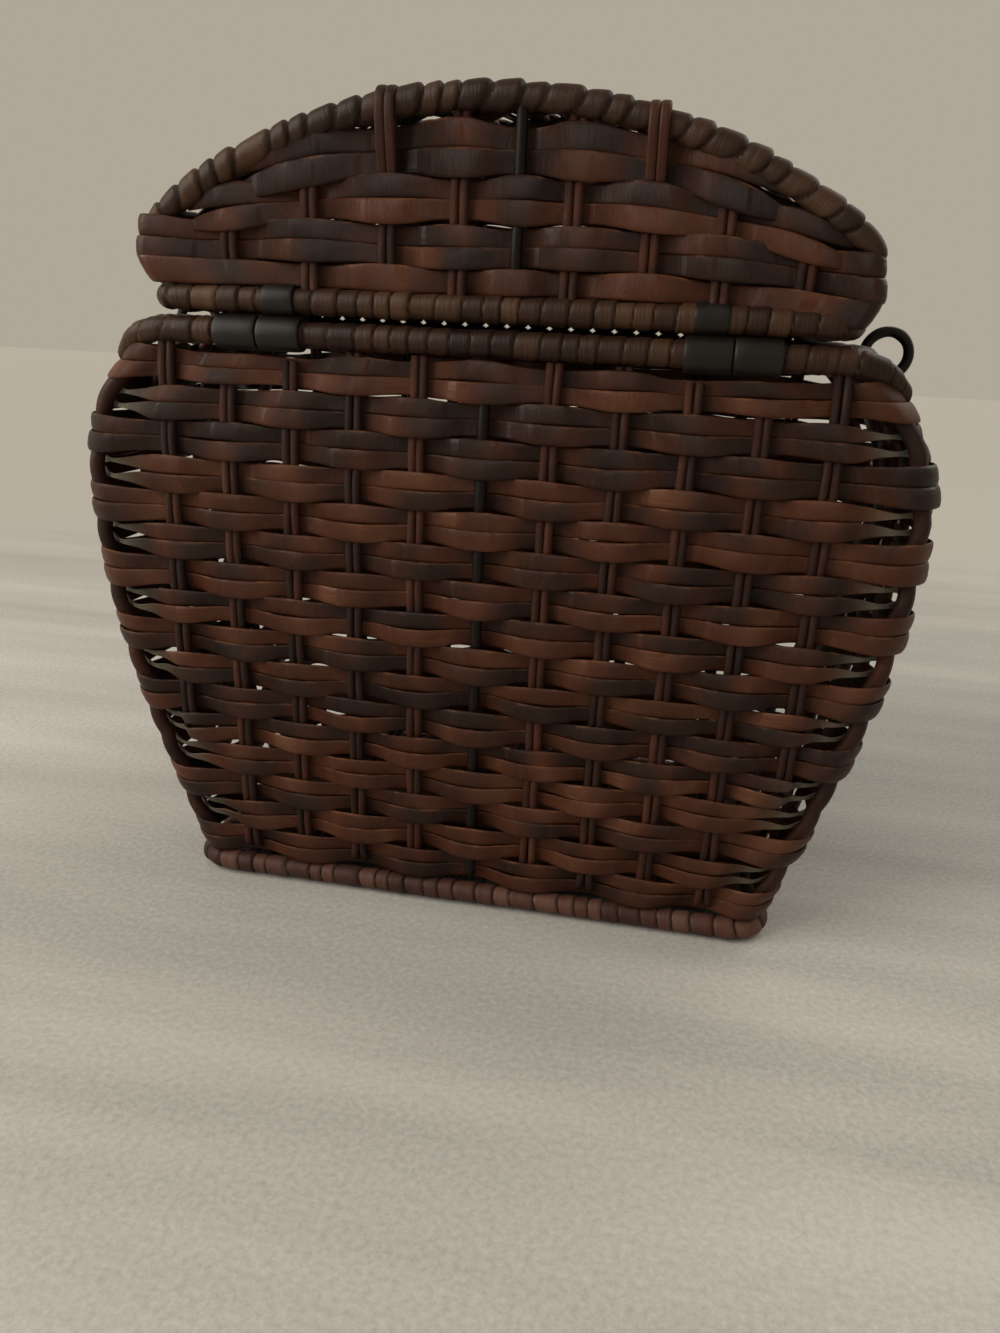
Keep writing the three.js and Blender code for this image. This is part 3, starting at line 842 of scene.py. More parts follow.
            # Paler edges: wear, and at the upper edge of each splint also a painted highlight where light
            # would catch it
            sides = np.abs(flat) ** self.edge_power * np.where(flat > 0, 1.0, self.low_edge)
            edge = np.clip(sides + ends[:, None], 0, 1)
            skin.tube(rings, closed, np.clip(tint, 0, 1)[:, None], edge, np.asarray(bare)[..., None])


@dataclass(frozen=True)
class Winding:
    """Flat cane wound round a rod, turn against turn, each lapping the next a little."""

    pitch: float
    depth: float = 0.95
    lap: float = 0.4
    sides: int = 20
    samples: int = 18
    jitter: float = 0.13
    climb: float = 0.12
    tone: tuple = (0.1, 0.8)
    wander: Wander = Wander(0.12, 25, 160)
    crispness: float = 11.0
    # Share of a turn that is worn at each edge, and how far up an edge is worn and a turn has its own tone
    worn_edge: float = 0.12
    worn_from: float = 0.3
    tone_from: float = 0.4
    # The wider winding of the front run, where it begins, and where it meets the other rod
    front_pitch: float = 0.0
    front_depth: float = 2.6
    front_ease: float = 0.2
    front_softness: float = 5.0
    front_from: float = 1.0
    front_blend: float = 0.5
    meet: float = 0.25

    def add(self, skin: Skin, path: Array, normal: Array, radius: float | Array, closed: bool,
            seed: int) -> None:
        """Adds a rod with its winding as one tube.

        The phase of the winding is the distance in turns plus the angle round the rod, with most of its
        climb on the side that faces in. The radius is the rod's plus the cane's thickness, which falls off
        steeply at each edge of a turn, plus a slope across each turn. With a front pitch, the front run of
        the rod is wound wider, with open gaps that line up at the angle where it meets another rod.

        Args:
            skin: The skin that takes the tube.
            path: The rod's axis.
            normal: A direction square to the axis all along it.
            radius: Outer radius over the winding, or several at even distances along the rod.
            closed: Whether the rod meets itself.
            seed: Seed of the turns' differences.
        """
        path = resample(path, self.pitch / self.samples, closed)
        line = np.vstack([path, path[:1]]) if closed else path
        length = distances(line)[-1]
        s = distances(line)[:len(path)]
        turns = max(3, round(length / self.pitch))
        marks = np.atleast_1d(radius)
        radius = np.interp(s / length, np.linspace(0, 1, len(marks)), marks)[:, None]
        angle = TURN * np.arange(self.sides) / self.sides
        line_phase, ahead = turns * s / length, np.zeros(len(s))
        if self.front_pitch:
            ahead = np.clip((path[:, 1] - path[:, 1].max() + self.front_from) / self.front_blend, 0, 1)
            line_phase, turns = self.wide_front(path, distances(line), ahead > 0)
        phase = (line_phase + self.wander.along(s, length, seed) * (1 - ahead))[:, None] + angle / TURN
        phase = phase + self.climb * np.sin(angle)
        ahead = ahead[:, None]
        number = np.floor(phase).astype(int) % turns
        share = phase - np.floor(phase)
        rng = np.random.default_rng(seed)
        extra, light = rng.normal(0, self.jitter, turns), rng.uniform(*self.tone, turns)
        fall = 1 - np.abs(2 * share - 1) ** (self.crispness - self.front_softness * ahead)
        depth = self.depth + (self.front_depth - self.depth) * ahead
        slope = (self.lap * (share - 0.5) + extra[number]) * fall * (1 - ahead)
        size = radius - self.front_ease * ahead - depth * (1 - fall) + slope
        section = np.stack([size * np.cos(angle), size * np.sin(angle)], -1)
        edge = np.clip(1 - np.minimum(share, 1 - share) / self.worn_edge, 0, 1) * (fall > self.worn_from)
        tint = light[number] * (fall > self.tone_from)
        skin.tube(sweep(path, normal, section, closed), closed, tint, edge)

    def wide_front(self, path: Array, s: Array, ahead: Array) -> tuple[Array, int]:
        """Phase along a closed rod whose front run is wound wider.

        The phase is the sum of each step over its own pitch. The other runs are eased so that the whole comes
        to full turns, and the middle of the front run has a gap where the rod meets the other rod.

        Args:
            path: The rod's axis.
            s: Distances along it, with the closing one.
            ahead: Whether each point is on the front run.

        Returns:
            The phase at each point, and the number of turns.
        """
        turn = np.diff(s) / np.where(ahead, self.front_pitch, self.pitch)
        turns = round(turn.sum())
        turn[~ahead] *= (turns - turn[ahead].sum()) / turn[~ahead].sum()
        phase = np.concatenate([[0.0], np.cumsum(turn)[:-1]])
        middle = np.where(ahead, np.abs(path[:, 0]), np.inf).argmin()
        return phase - phase[middle] - self.meet - self.climb * np.sin(TURN * self.meet), turns


@dataclass(frozen=True)
class Reed:
    """A thin round reed. Two of them side by side make one stake."""

    radius: float = 1.7
    sides: int = 10
    apart: float = 0.96
    wear: float = 0.12
    tone: tuple = (0.2, 0.8)
    swell: Wander = Wander(0.03, 30, 200)
    shade: Wander = Wander(0.12, 40, 200)
    short_tone: float = 0.5
    short_shade: Wander = Wander(0.14, 20, 90)

    def add(self, skin: Skin, path: Array, normal: Array, seed: int, radius: float | None = None) -> None:
        """Adds one reed along a path: a circle whose size and tone change a little along it.

        Args:
            skin: The skin that takes the reed.
            path: The reed's axis.
            normal: A direction square to the axis all along it.
            seed: Seed of the changes.
            radius: Radius of a thicker reed or rod.
        """
        s = distances(path)
        radius = radius or self.radius
        size = 1 + self.swell.along(s, s[-1], seed)
        section = oval(radius, radius, self.sides)[None] * size[:, None, None]
        tint = np.random.default_rng(seed).uniform(*self.tone) + self.shade.along(s, s[-1], seed + 1)
        skin.tube(sweep(path, normal, section), False, np.clip(tint, 0, 1)[:, None], self.wear)

    def add_short_pair(self, skin: Skin, path: Array, side: Array, tints: list) -> None:
        """Adds two even reeds side by side along a short path.

        Args:
            skin: The skin that takes the reeds.
            path: The line midway between them.
            side: Direction from one to the other, square to the path.
            tints: How light each of them is, for all or for each point.
        """
        section = oval(self.radius, self.radius, self.sides)
        for shift, tint in zip((-1, 1), tints):
            line = path + side * shift * self.radius * self.apart
            skin.tube(sweep(line, side, section), False, tint, self.wear)

    def short_tints(self, s: Array, seed: int) -> list[Array]:
        """How light both reeds of a short pair are at each distance along it."""
        drifts = (self.short_shade.along(s, s[-1], seed + shift) for shift in (-1, 1))
        return [self.short_tone + drift[:, None] for drift in drifts]


@dataclass
class Piece:
    """A finished piece: its skin and how it takes part in the model."""

    name: str
    slot: str
    body: Body
    nodes: tuple
    skin: Skin = field(default_factory=Skin)

    def finish(self, material: bpy.types.Material, place: Callable[[Array], Array] | None = None) -> None:
        """Makes the object, hangs it on its body and lets it stand for its nodes.

        Args:
            material: Its material.
            place: Carries the points from a sub-assembly's own frame to the basket's frame.
        """
        made = self.skin.build(self.name, material, place)
        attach(made, self.body.value)
        if self.nodes:
            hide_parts(*self.nodes)
        log.info("%s: %d points, on %s", self.name, self.skin.count, self.body.value)


@dataclass
class Stuff:
    """The materials that the pieces share."""

    splint: bpy.types.Material = field(default_factory=SPLINT.material)
    reed: bpy.types.Material = field(default_factory=REED.material)
    cane: bpy.types.Material = field(default_factory=CANE.material)
    foot: bpy.types.Material = field(default_factory=FOOT_CANE.material)
    lacquer: bpy.types.Material = field(default_factory=LACQUER.material)
    strap: bpy.types.Material = field(default_factory=STRAP.material)
    iron: bpy.types.Material = field(default_factory=IRON.material)


@dataclass
class WovenBody:
    """The basket's body: rows of splint pairs round upright reeds, base, foot rim and mouth rim."""

    form: WallForm
    stuff: Stuff
    reed: Reed = Reed()
    # Rows: their number and places, and their height as shares of the pitch
    rows: int = 16
    row_drop: float = 6.6
    foot_gap: float = 0.3
    pinched: float = 0.912
    spread: float = 1.143
    step: float = 1.7
    row_sway: Wander = Wander(0.2, 90, 450)
    # Stakes: where they stand, and how far from their middle a row passes them
    stake_pitch: float = 25.0
    stakes_each_side: int = 5
    end_stakes: tuple = (-37.5, -12.5, 12.5, 37.5)
    corner_room: float = 3.6
    passing: float = 2.25
    passing_centre: float = 2.9
    passing_corner: float = 3.0
    # Where a row turns on edge as it goes inside a corner post
    corner_exit: float = 7.0
    eye_taper: float = 0.72
    eye_reach: float = 11.0
    eye_shift: float = 5.0
    eye_bare: float = 0.9
    eye_fade: float = 1.4
    # First row: raised to the rim, except at the back and by the rings, and pressed down under the straps
    rim_fill: float = 1.9
    back_clear: float = 70.0
    back_ease: float = 60.0
    side_clear: float = 118.0
    end_ease: float = 10.0
    ring_wall: float = 120.0
    ring_reach: float = 36.0
    strap_room: float = 1.0
    strap_ease: float = 9.0
    # Reeds and rods: steps and bends of their routes, and how two of them part towards the foot
    reed_step: float = 2.0
    reed_bend: int = 4
    reed_bow: float = 0.5
    rod_radius: float = 2.2
    post_radius: float = 3.1
    post_bow: tuple = (0.25, 1.05)
    post_run_on: float = 1.5
    pair_apart: float = 0.94
    foot_apart: float = 0.75
    part_reach: float = 13.0
    part_power: float = 1.5
    pair_drift: Wander = Wander(0.14, 40, 160)
    # Rims, and the binding that goes down over each shoulder from the rim's corner
    rim_radius: float = 4.9
    rim_corner: float = 16.0
    rim_cane: Winding = Winding(pitch=7.75, tone=(0.0, 0.45), front_pitch=11.0)
    shoulder: tuple = ((-16, 0, 0), (-3, -0.3, -0.3), (7, -3.5, -3.5), (13, -9.0, -10.0))
    shoulder_radius: float = 4.75
    shoulder_bend: int = 5
    shoulder_cane: Winding = Winding(pitch=7.75, tone=(0.0, 0.45))
    foot_radius: float = 4.6
    foot_corner: float = 12.0
    foot_lift: float = 0.05
    foot_cane: Winding = Winding(pitch=7.9, depth=1.0, lap=0.5, jitter=0.16, climb=0.26, tone=(0.25, 0.9),
                                 crispness=8.0, wander=Wander(0.2, 25, 140))
    # Base: a plain weave whose outermost strips are cut short at the foot rim's corners
    base_weave: SplintPair = SplintPair(thickness=1.0, crown=0.15, pinched=11.6, spread=11.9)
    base_strip: float = 12.2
    base_margin: float = 0.5
    base_edge: float = 12.0
    base_cut: float = 8.0
    base_step: float = 2.5
    base_passing: float = 0.62

    def __post_init__(self) -> None:
        """Numbers the stakes and posts round the basket, from 0 at the back left corner."""
        n, ends = self.stakes_each_side, len(self.end_stakes)
        self.back_centre = n + 1
        self.right_first = 2 * n + 3
        self.front_centre = self.right_first + ends + n + 1
        self.left_last = 2 * (self.right_first + ends) - 1
        self.posts = (0, self.right_first - 1, self.right_first + ends, self.left_last - ends)

    def row_span(self) -> tuple[float, float]:
        """Top of the first row and the rows' pitch, from the rim and the foot rim's top."""
        top = self.form.rim_height - self.row_drop
        return top, (top - self.form.foot_top - self.foot_gap) / self.rows

    def stake_room(self, z: float | Array) -> Array:
        """How far from the middle the side stakes may stand at a height."""
        return self.form.half_width(z) - self.form.corner - self.corner_room

    def stake_number(self, k: int | Array, face: Face) -> int | Array:
        """Number of a side stake on one face, from its place counted from the middle."""
        return self.back_centre + k if face is Face.BACK else self.front_centre - k

    def run_out(self, z: float | Array) -> Array:
        """Whether the outermost stakes have run out, where the numbers of corners and ends go up by one."""
        return self.stake_room(z) <= self.stakes_each_side * self.stake_pitch

    def corner_numbers(self, z: float) -> Array:
        """Numbers of the four corner posts for a row at this height, going round from the back right."""
        return np.roll(self.posts, -1) + int(self.run_out(z))

    def anchors(self, row: int, z: float, breaks: Array) -> tuple[Array, Array]:
        """Where a row passes each stake and post, and on which side.

        Stakes are numbered round the basket from the back left corner, and a row goes inside where the
        stake's number plus the row's number is even. Below where the outermost stakes run out, the numbers of
        the corners and ends go up by one. Where a row goes inside a corner post it is inside from the end of
        the long wall on, and comes out again on the end wall soon after the corner.

        Args:
            row: Number of the row, from 1 at the top.
            z: Height of the row.
            breaks: Ends of the runs at that height.

        Returns:
            Distances from the middle of the back, and offsets.
        """
        k = np.arange(-self.stakes_each_side, self.stakes_each_side + 1)
        k = k[np.abs(k) * self.stake_pitch < self.stake_room(z)]
        x = k * self.stake_pitch
        y = np.array(self.end_stakes)
        j = np.arange(len(y))
        late = int(self.run_out(z))
        numbered = self.corner_numbers(z)
        turned = (numbered + row) % 2 == 0
        corners = (breaks[LONG_ENDS] + breaks[SHORT_ENDS]) / 2
        places = np.concatenate([places_round(breaks, x, y), corners])
        numbers = np.concatenate([
            self.stake_number(k, Face.BACK), self.right_first + j + late,
            self.stake_number(k, Face.FRONT), self.left_last - j + late, numbered])
        reach = np.where(k == 0, self.passing_centre, self.passing)
        ends = np.full(len(y), self.passing)
        reaches = np.concatenate([reach, ends, reach, ends, np.full(len(corners), self.passing_corner)])
        offsets = np.where((numbers + row) % 2 == 0, -reaches, reaches)
        long_side = breaks[LONG_ENDS][turned]
        end_side = (breaks[SHORT_ENDS] + self.corner_exit * TO_END)[turned]
        spare = np.full(turned.sum(), self.passing)
        return np.concatenate([places, long_side, end_side]), np.concatenate([offsets, -spare, spare])

    def strap_dip(self, points: Array) -> Array:
        """How far the first row is pressed down under the hinge straps, eased off by a square law.

        Args:
            points: Places of the row.

        Returns:
            The dip at each place.
        """
        dip = np.zeros(len(points))
        for side in ("left", "right"):
            boxes = np.array([box_mm(f"hinge_strap_{side}_{part}") for part in ("inner", "outer")])
            low, high = boxes[:, 0, 0].min(), boxes[:, 1, 0].max()
            gap = np.maximum(np.maximum(low - points[:, 0], points[:, 0] - high), 0)
            dip = np.maximum(dip, (1 - np.clip(gap / self.strap_ease, 0, 1) ** 2) * (points[:, 1] < 0))
        return dip * self.strap_room

    def rim_rise(self, points: Array) -> Array:
        """How far the first row is raised to the rim: in front and at the ends, but not beside the rings.

        Args:
            points: Places of the row.

        Returns:
            The rise at each place, from straight ramps.
        """
        x, y = np.abs(points[:, 0]), points[:, 1]
        clear = np.maximum((y + self.back_clear) / self.back_ease, (x - self.side_clear) / self.end_ease)
        by_ring = (x > self.ring_wall) * np.clip((self.ring_reach - np.abs(y)) / self.end_ease, 0, 1)
        return self.rim_fill * np.clip(clear, 0, 1) * (1 - by_ring)

    def build_rows(self) -> None:
        """Builds each row as two splints round the whole wall, in place of its node."""
        top, pitch = self.row_span()
        weave = SplintPair(pinched=self.pinched * pitch, spread=self.spread * pitch)
        for row in range(1, self.rows + 1):
            z = top - (row - 0.5) * pitch
            breaks = self.form.breaks(z)
            s = np.linspace(0, breaks[-1], round(breaks[-1] / self.step), endpoint=False)
            sway = self.row_sway.along(s, breaks[-1], Seed.ROW_SWAY + row)
            base, outward, rising = loop_frames(self.form.centres, self.form.corner, z + sway, s, breaks)
            squeeze = np.ones(len(s))
            if row == 1:
                dip = self.strap_dip(base) - self.rim_rise(base)
                base = base - rising * (dip / 2)[:, None]
                squeeze = 1 - dip / pitch
            offset = weave.interlace(s, *self.anchors(row, z, breaks), breaks[-1], True)
            edgewise = self.edgewise(row, z, s, breaks)
            piece = Piece(f"row_splints_{row:02d}", "splint", Body.BASKET, (f"wall_row_{row:02d}",))
            weave.add(piece.skin, base, outward, rising, offset, True, row, squeeze,
                      taper=1 - self.eye_taper * edgewise, bare=self.eye_bare * edgewise ** self.eye_fade)
            piece.finish(self.stuff.splint)

    def edgewise(self, row: int, z: float, s: Array, breaks: Array) -> Array:
        """How far a row is turned on edge: a bell curve at each corner where it turns in.

        Args:
            row: Number of the row.
            z: Height of the row.
            s: Places along the row.
            breaks: Ends of the runs at that height.

        Returns:
            A share at each place.
        """
        bell = np.zeros(len(s))
        for i, number, sign in zip(LONG_ENDS, self.corner_numbers(z), TO_END):
            if (number + row) % 2 == 0:
                bell += np.exp(-((s - breaks[i] - sign * self.eye_shift) / self.eye_reach) ** 2)
        return bell

    def bow(self, z: Array, number: int, changes: bool = False) -> Array:
        """How far a stake bows out at each height.

        It bows out where its row goes inside and in where its row goes outside, as a cosine of the row.

        Args:
            z: Heights.
            number: The stake's number round the basket.
            changes: Whether the number goes up where the outermost stakes run out, as at corners and ends.

        Returns:
            The bow at each height.
        """
        top, pitch = self.row_span()
        row = (top - z) / pitch + 0.5
        if changes:
            number = number + self.run_out(top - (np.round(row) - 0.5) * pitch)
        inside = np.cos(np.pi * (row + number))
        return self.reed_bow * inside * (row > 0.5) * (row < self.rows + 0.5)

    def side_place(self, z: Array, k: int, face: Face) -> Array:
        """Where a side stake stands along Y at each height: on the wall, plus its bow."""
        return face.value * (self.form.half_depth(z) + self.bow(z, self.stake_number(k, face)))

    def side_path(self, node: str, k: int) -> Array:
        """Route of a side stake in Y and Z: down the back wall, under the inside and up the front wall.

        Args:
            node: The stake's node, whose box gives the ends.
            k: The stake's place counted from the middle.

        Returns:
            Points of the route.
        """
        low, high = box_mm(node)
        z = np.arange(low[2] + self.rod_radius, high[2], self.reed_step)
        back, front = (np.stack([self.side_place(z, k, face), z], -1) for face in Face)
        return soften(resample(np.vstack([back[::-1], front]), self.reed_step), self.reed_bend)

    def add_pair(self, skin: Skin, route: Array, seed: int) -> None:
        """Adds two reeds side by side along a route that lies in a plane across X, parting at the foot.

        Args:
            skin: The skin that takes the reeds.
            route: The line midway between them.
            seed: Seed of their drift, thickness and tone.
        """
        low = np.clip((self.form.foot_top + self.part_reach - route[:, 2]) / self.part_reach, 0, 1)
        apart = self.reed.radius * (self.pair_apart + self.foot_apart * low ** self.part_power)
        s = distances(route)
        for n, shift in enumerate((-1, 1)):
            drift = self.pair_drift.along(s, s[-1], seed * 2 + n)
            self.reed.add(skin, route + ALONG_X * (shift * apart + drift)[:, None], ALONG_X, seed * 2 + n)

    def build_stakes(self) -> None:
        """Builds the side stakes as pairs of reeds, the black centre rod, end stakes and corner posts."""
        for k in range(-self.stakes_each_side, self.stakes_each_side + 1):
            side = "left" if k < 0 else "right"
            node = "centre_rod" if k == 0 else f"stake_{side}_{abs(k)}"
            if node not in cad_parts:
                self.build_outer_stakes(node, side, k)
                continue
            path = self.side_path(node, k)
            route = xyz(k * self.stake_pitch, *path.T)
            if k == 0:
                piece = Piece("black_upright", "black_rod", Body.BASKET, (node,))
                self.reed.add(piece.skin, route, ALONG_X, Seed.CENTRE_ROD, self.rod_radius)
                piece.finish(self.stuff.lacquer)
            else:
                piece = Piece(f"reed_pair_{side}_{abs(k)}", "reed", Body.BASKET, (node,))
                self.add_pair(piece.skin, route, Seed.SIDE_REED + k)
                piece.finish(self.stuff.reed)
        self.build_end_stakes()
        self.build_posts()

    def build_outer_stakes(self, name: str, side: str, k: int) -> None:
        """Builds the outermost stakes of one side, one pair of reeds on each long wall.

        Args:
            name: What the names of both nodes begin with.
            side: Left or right.
            k: The stakes' place counted from the middle.
        """
        for face in Face:
            node = f"{name}_{face.word}"
            low, high = box_mm(node)
            z = np.arange(low[2], high[2], self.reed_step)
            route = xyz(k * self.stake_pitch, self.side_place(z, k, face), z)
            piece = Piece(f"reed_pair_{side}_{abs(k)}_{face.word}", "reed", Body.BASKET, (node,))
            self.add_pair(piece.skin, route, Seed.OUTER_REED + k + face.value)
            piece.finish(self.stuff.reed)

    def build_end_stakes(self) -> None:
        """Builds the end stakes: pairs of reeds up both end walls, crossing over the side stakes."""
        for j, y in enumerate(self.end_stakes):
            node = f"end_stake_{j + 1}"
            low, high = box_mm(node)
            z = np.arange(low[2] + self.reed.radius, high[2], self.reed_step)
            left = np.stack([-self.form.half_width(z) - self.bow(z, self.left_last - j, True), z], -1)
            right = np.stack([self.form.half_width(z) + self.bow(z, self.right_first + j, True), z], -1)
            path = soften(resample(np.vstack([left[::-1], right]), self.reed_step), self.reed_bend)
            piece = Piece(f"reed_pair_end_{j + 1}", "reed", Body.BASKET, (node,))
            for n, shift in enumerate((-1, 1)):
                across = y + shift * self.reed.radius * self.reed.apart
                route = xyz(path[:, 0], across, path[:, 1])
                self.reed.add(piece.skin, route, ALONG_Y, Seed.END_REED + 2 * j + n)
            piece.finish(self.stuff.reed)

    def build_posts(self) -> None:
        """Builds a thick reed in the middle of each rounded corner, bowing out where its row goes inside."""
        slant = np.sqrt(0.5)
        reach = self.form.corner * (1 - slant)
        rest, swing = self.post_bow
        for side, sx in (("left", -1), ("right", 1)):
            for face in Face:
                node = f"corner_post_{face.word}_{side}"
                low, high = box_mm(node)
                z = np.arange(low[2], high[2] + self.post_run_on, self.reed_step)
                number = self.posts[CORNERS.index((sx, face.value))]
                out = (rest + swing / self.reed_bow * self.bow(z, number, True)) * slant - reach
                x = sx * (self.form.half_width(z) + out)
                y = face.value * (self.form.half_depth(z) + out)
                seed = Seed.CORNER_REED + sx + 3 * face.value
                piece = Piece(f"corner_reed_{face.word}_{side}", "reed", Body.BASKET, (node,))
                self.reed.add(piece.skin, xyz(x, y, z), ALONG_Y, seed, self.post_radius)
                piece.finish(self.stuff.reed)

    def build_rims(self) -> None:
        """Builds the wound rim of the mouth, bound down over each shoulder, and the wound foot rim."""
        form = self.form
        half, depth = form.rim_half_width, form.rim_half_depth
        plan = rounded_plan(half, -depth, depth, self.rim_corner, form.rim_height)
        rim = Piece("mouth_rim_winding", "wrap", Body.BASKET, ("body_rim", "body_rim_winding"))
        self.rim_cane.add(rim.skin, plan, UP, self.rim_radius, True, Seed.MOUTH_RIM)
        bend = np.array(self.shoulder) + (half, depth, form.rim_height)
        for n, (sx, sy) in enumerate(CORNERS):
            line = soften(resample(bend * (sx, sy, 1), 1.0), self.shoulder_bend)
            self.shoulder_cane.add(rim.skin, line, UP, self.shoulder_radius, False, Seed.SHOULDER + n)
        rim.finish(self.stuff.cane)
        low, high = box_mm("foot_rim")
        flat = (high[2] - low[2]) / 2
        plan = rounded_plan(high[0] - flat, low[1] + flat, high[1] - flat, self.foot_corner,
                            flat + self.foot_lift)
        foot = Piece("foot_rim_winding", "wrap", Body.BASKET, ("foot_rim",))
        self.foot_cane.add(foot.skin, plan, UP, self.foot_radius, True, Seed.FOOT_RIM)
        foot.finish(self.stuff.foot)

    def build_base(self) -> None:
        """Builds the base as a flat plain weave of splints both ways."""
        low, high = box_mm("base_panel")
        weave = self.base_weave
        half = high[:2] - self.base_margin
        counts = [round(2 * h / self.base_strip) for h in half]
        lines = [(np.arange(c) - (c - 1) / 2) * (2 * h / c) for c, h in zip(counts, half)]
        piece = Piece("base_weave", "splint", Body.BASKET, ("base_panel",))
        for axis in (0, 1):
            other = 1 - axis
            for i, at in enumerate(lines[other]):
                outermost = abs(at) > half[other] - self.base_edge
                length = 2 * half[axis] - self.base_cut * outermost
                s = np.linspace(0, length, round(length / self.base_step))
                base = np.zeros((len(s), 3))
                base[:, axis] = s - length / 2
                base[:, other] = at
                base[:, 2] = (low[2] + high[2]) / 2
                places = lines[axis] + length / 2
                over = (np.arange(len(places)) + i + axis) % 2 == 0
                sides = np.where(over, self.base_passing, -self.base_passing)
                keep = (places > 0) & (places < length)
                offset = weave.interlace(s, places[keep], sides[keep], length, False)
                up, across = (np.broadcast_to(way, base.shape) for way in (UP, np.eye(3)[other]))
                weave.add(piece.skin, base, up, across, offset, False, Seed.BASE_STRIP + 50 * axis + i)
        piece.finish(self.stuff.splint)


@dataclass
class ArchedLid:
    """The lid in its own frame on the hinge axis: wound rim and arches, woven back, front and vault."""

    form: WallForm
    stuff: Stuff
    reed: Reed = Reed()
    # Rim and arch
    rod_rise: float = 11.8
    rod_radius: float = 4.4
    gap: float = 0.3
    set_in: float = 7.0
    corner: float = 8.0
    arch_radius: float = 4.2
    foot_set_in: float = 2.0
    foot_lean: float = 5.0
    foot_lift: float = 7.3
    spring_set_in: float = 6.0
    bulge: float = 21.0
    spring_rise: float = 31.4
    crown_rise: float = 68.0
    bow_points: int = 60
    foot_points: int = 23
    step: float = 1.7
    bend: int = 4
    # Windings over them, with the arch's radius at marks counted from each of its feet
    rim_winding: float = 4.75
    rim_cane: Winding = Winding(pitch=7.75, jitter=0.18, wander=Wander(0.16, 40, 160), front_pitch=11.0,
                                meet=0.75)
    arch_winding: float = 4.8
    arch_cane: Winding = Winding(pitch=9.4, depth=1.15, lap=0.95, jitter=0.22, climb=0.2, tone=(0.0, 0.62),
                                 crispness=5.5, wander=Wander(0.2, 25, 120))
    arch_sink: float = 6.0
    arch_step: float = 1.5
    arch_marks: int = 41
    foot_marks: tuple = (0, 2, 5)
    foot_radii: tuple = (3.0, 3.1, 4.8)
    # Stakes: where they stand, where they begin and end, and how far they bow
    stakes: tuple = (-98.0, -67.0, -38.0, -12.0, 9.0, 28.0, 55.0, 80.0, 108.0)
    rod_stake: int = 4
    rod_size: float = 2.1
    rod_sides: int = 12
    stake_foot: float = 2.5
    stake_top: float = 1.0
    stake_step: float = 2.0
    stake_bow: float = 0.6
    passing: float = 2.25
    end_stakes: tuple = (-37.5, -12.5, 12.5, 37.5)
    end_top: float = 31.0
    end_step: float = 1.5
    end_level: float = 33.0
    end_tones: tuple = (0.3, 0.4, 0.5, 0.6)
    thin_bow: float = 0.5
    # Free rows of a long face: middle height, height, reach to the left and right, fall at each end
    face_rows: tuple = ((51.4, 17.0, 96.0, 101.0, 12.0, 15.0), (35.6, 14.6, 114.0, 123.0, 8.0, 14.0))
    face_shares: tuple = (0.9, 1.12)
    hold: float = 4.0
    tuck: float = 1.8
    tuck_from: float = 0.86
    end_taper: float = 0.55
    taper_from: float = 0.8
    # Rows that go round the whole lid: number, middle height, height, and whether it is one splint
    band_rows: tuple = ((3, 20.3, 15.0, False), (4, 9.0, 9.4, True))
    band_shares: tuple = (0.86, 1.06)
    band_turn: float = 3.7
    band_peak: float = 17.0
    band_set_in: float = 1.0
    band_curve: tuple = (0.026, 0.02)
    band_sway: Wander = Wander(0.3, 90, 300)
    sag: tuple = (52.0, 126.0, 5.5)
    # Flat reeds that fold over the arch
    tie_half: tuple = (0.75, 1.7)
    tie_sides: int = 12
    tie_power: float = 3.0
    tie_apart: float = 1.75
    tie_clear: float = 0.9
    tie_turn: tuple = (-10, 150)
    tie_foot: float = 42.0
    tie_over: float = 51.0
    tie_top: float = 4.0
    tie_bulge: tuple = (0.8, 3.6)
    tie_tones: tuple = (0.45, 0.6)
    tie_points: int = 16
    fold_points: int = 24
    tie_worn: int = 6
    # Vault: rows over reeds that run on past its edges, with a little to spare for the last step
    vault_foot: float = 20.0
    vault_flank: int = 30
    vault_end: float = 10.0
    vault_rows: int = 12
    vault_edge: float = 0.6
    vault_shares: tuple = (1.02, 1.15)
    vault_run_on: float = 3.0
    vault_spare: float = 0.1

    def __post_init__(self) -> None:
        """Works out the lid's lean and its arch from the driving sizes."""
        self.depth = 2 * self.form.rim_half_depth
        # The body's rim rod has eight sides, and reaches furthest at its edges
        rim_edge = self.form.rim_flat / np.cos(np.pi / 8)
        drop = self.rod_rise - (rim_edge + self.rod_radius + self.gap)
        self.lean = np.arctan2(drop, self.depth)
        self.half_width = self.form.rim_half_width - self.set_in
        spring = self.half_width - self.spring_set_in
        rise = self.crown_rise - self.spring_rise
        self.curve = (spring ** 2 + rise ** 2) / (2 * rise)
        self.bow_centre = self.rod_rise + self.crown_rise - self.curve
        self.bow_angle = np.arcsin(spring / self.curve)
        self.arch = self.arch_line()
        self.levels = [row[1] for row in self.band_rows[::-1]] + [row[0] for row in self.face_rows[::-1]]

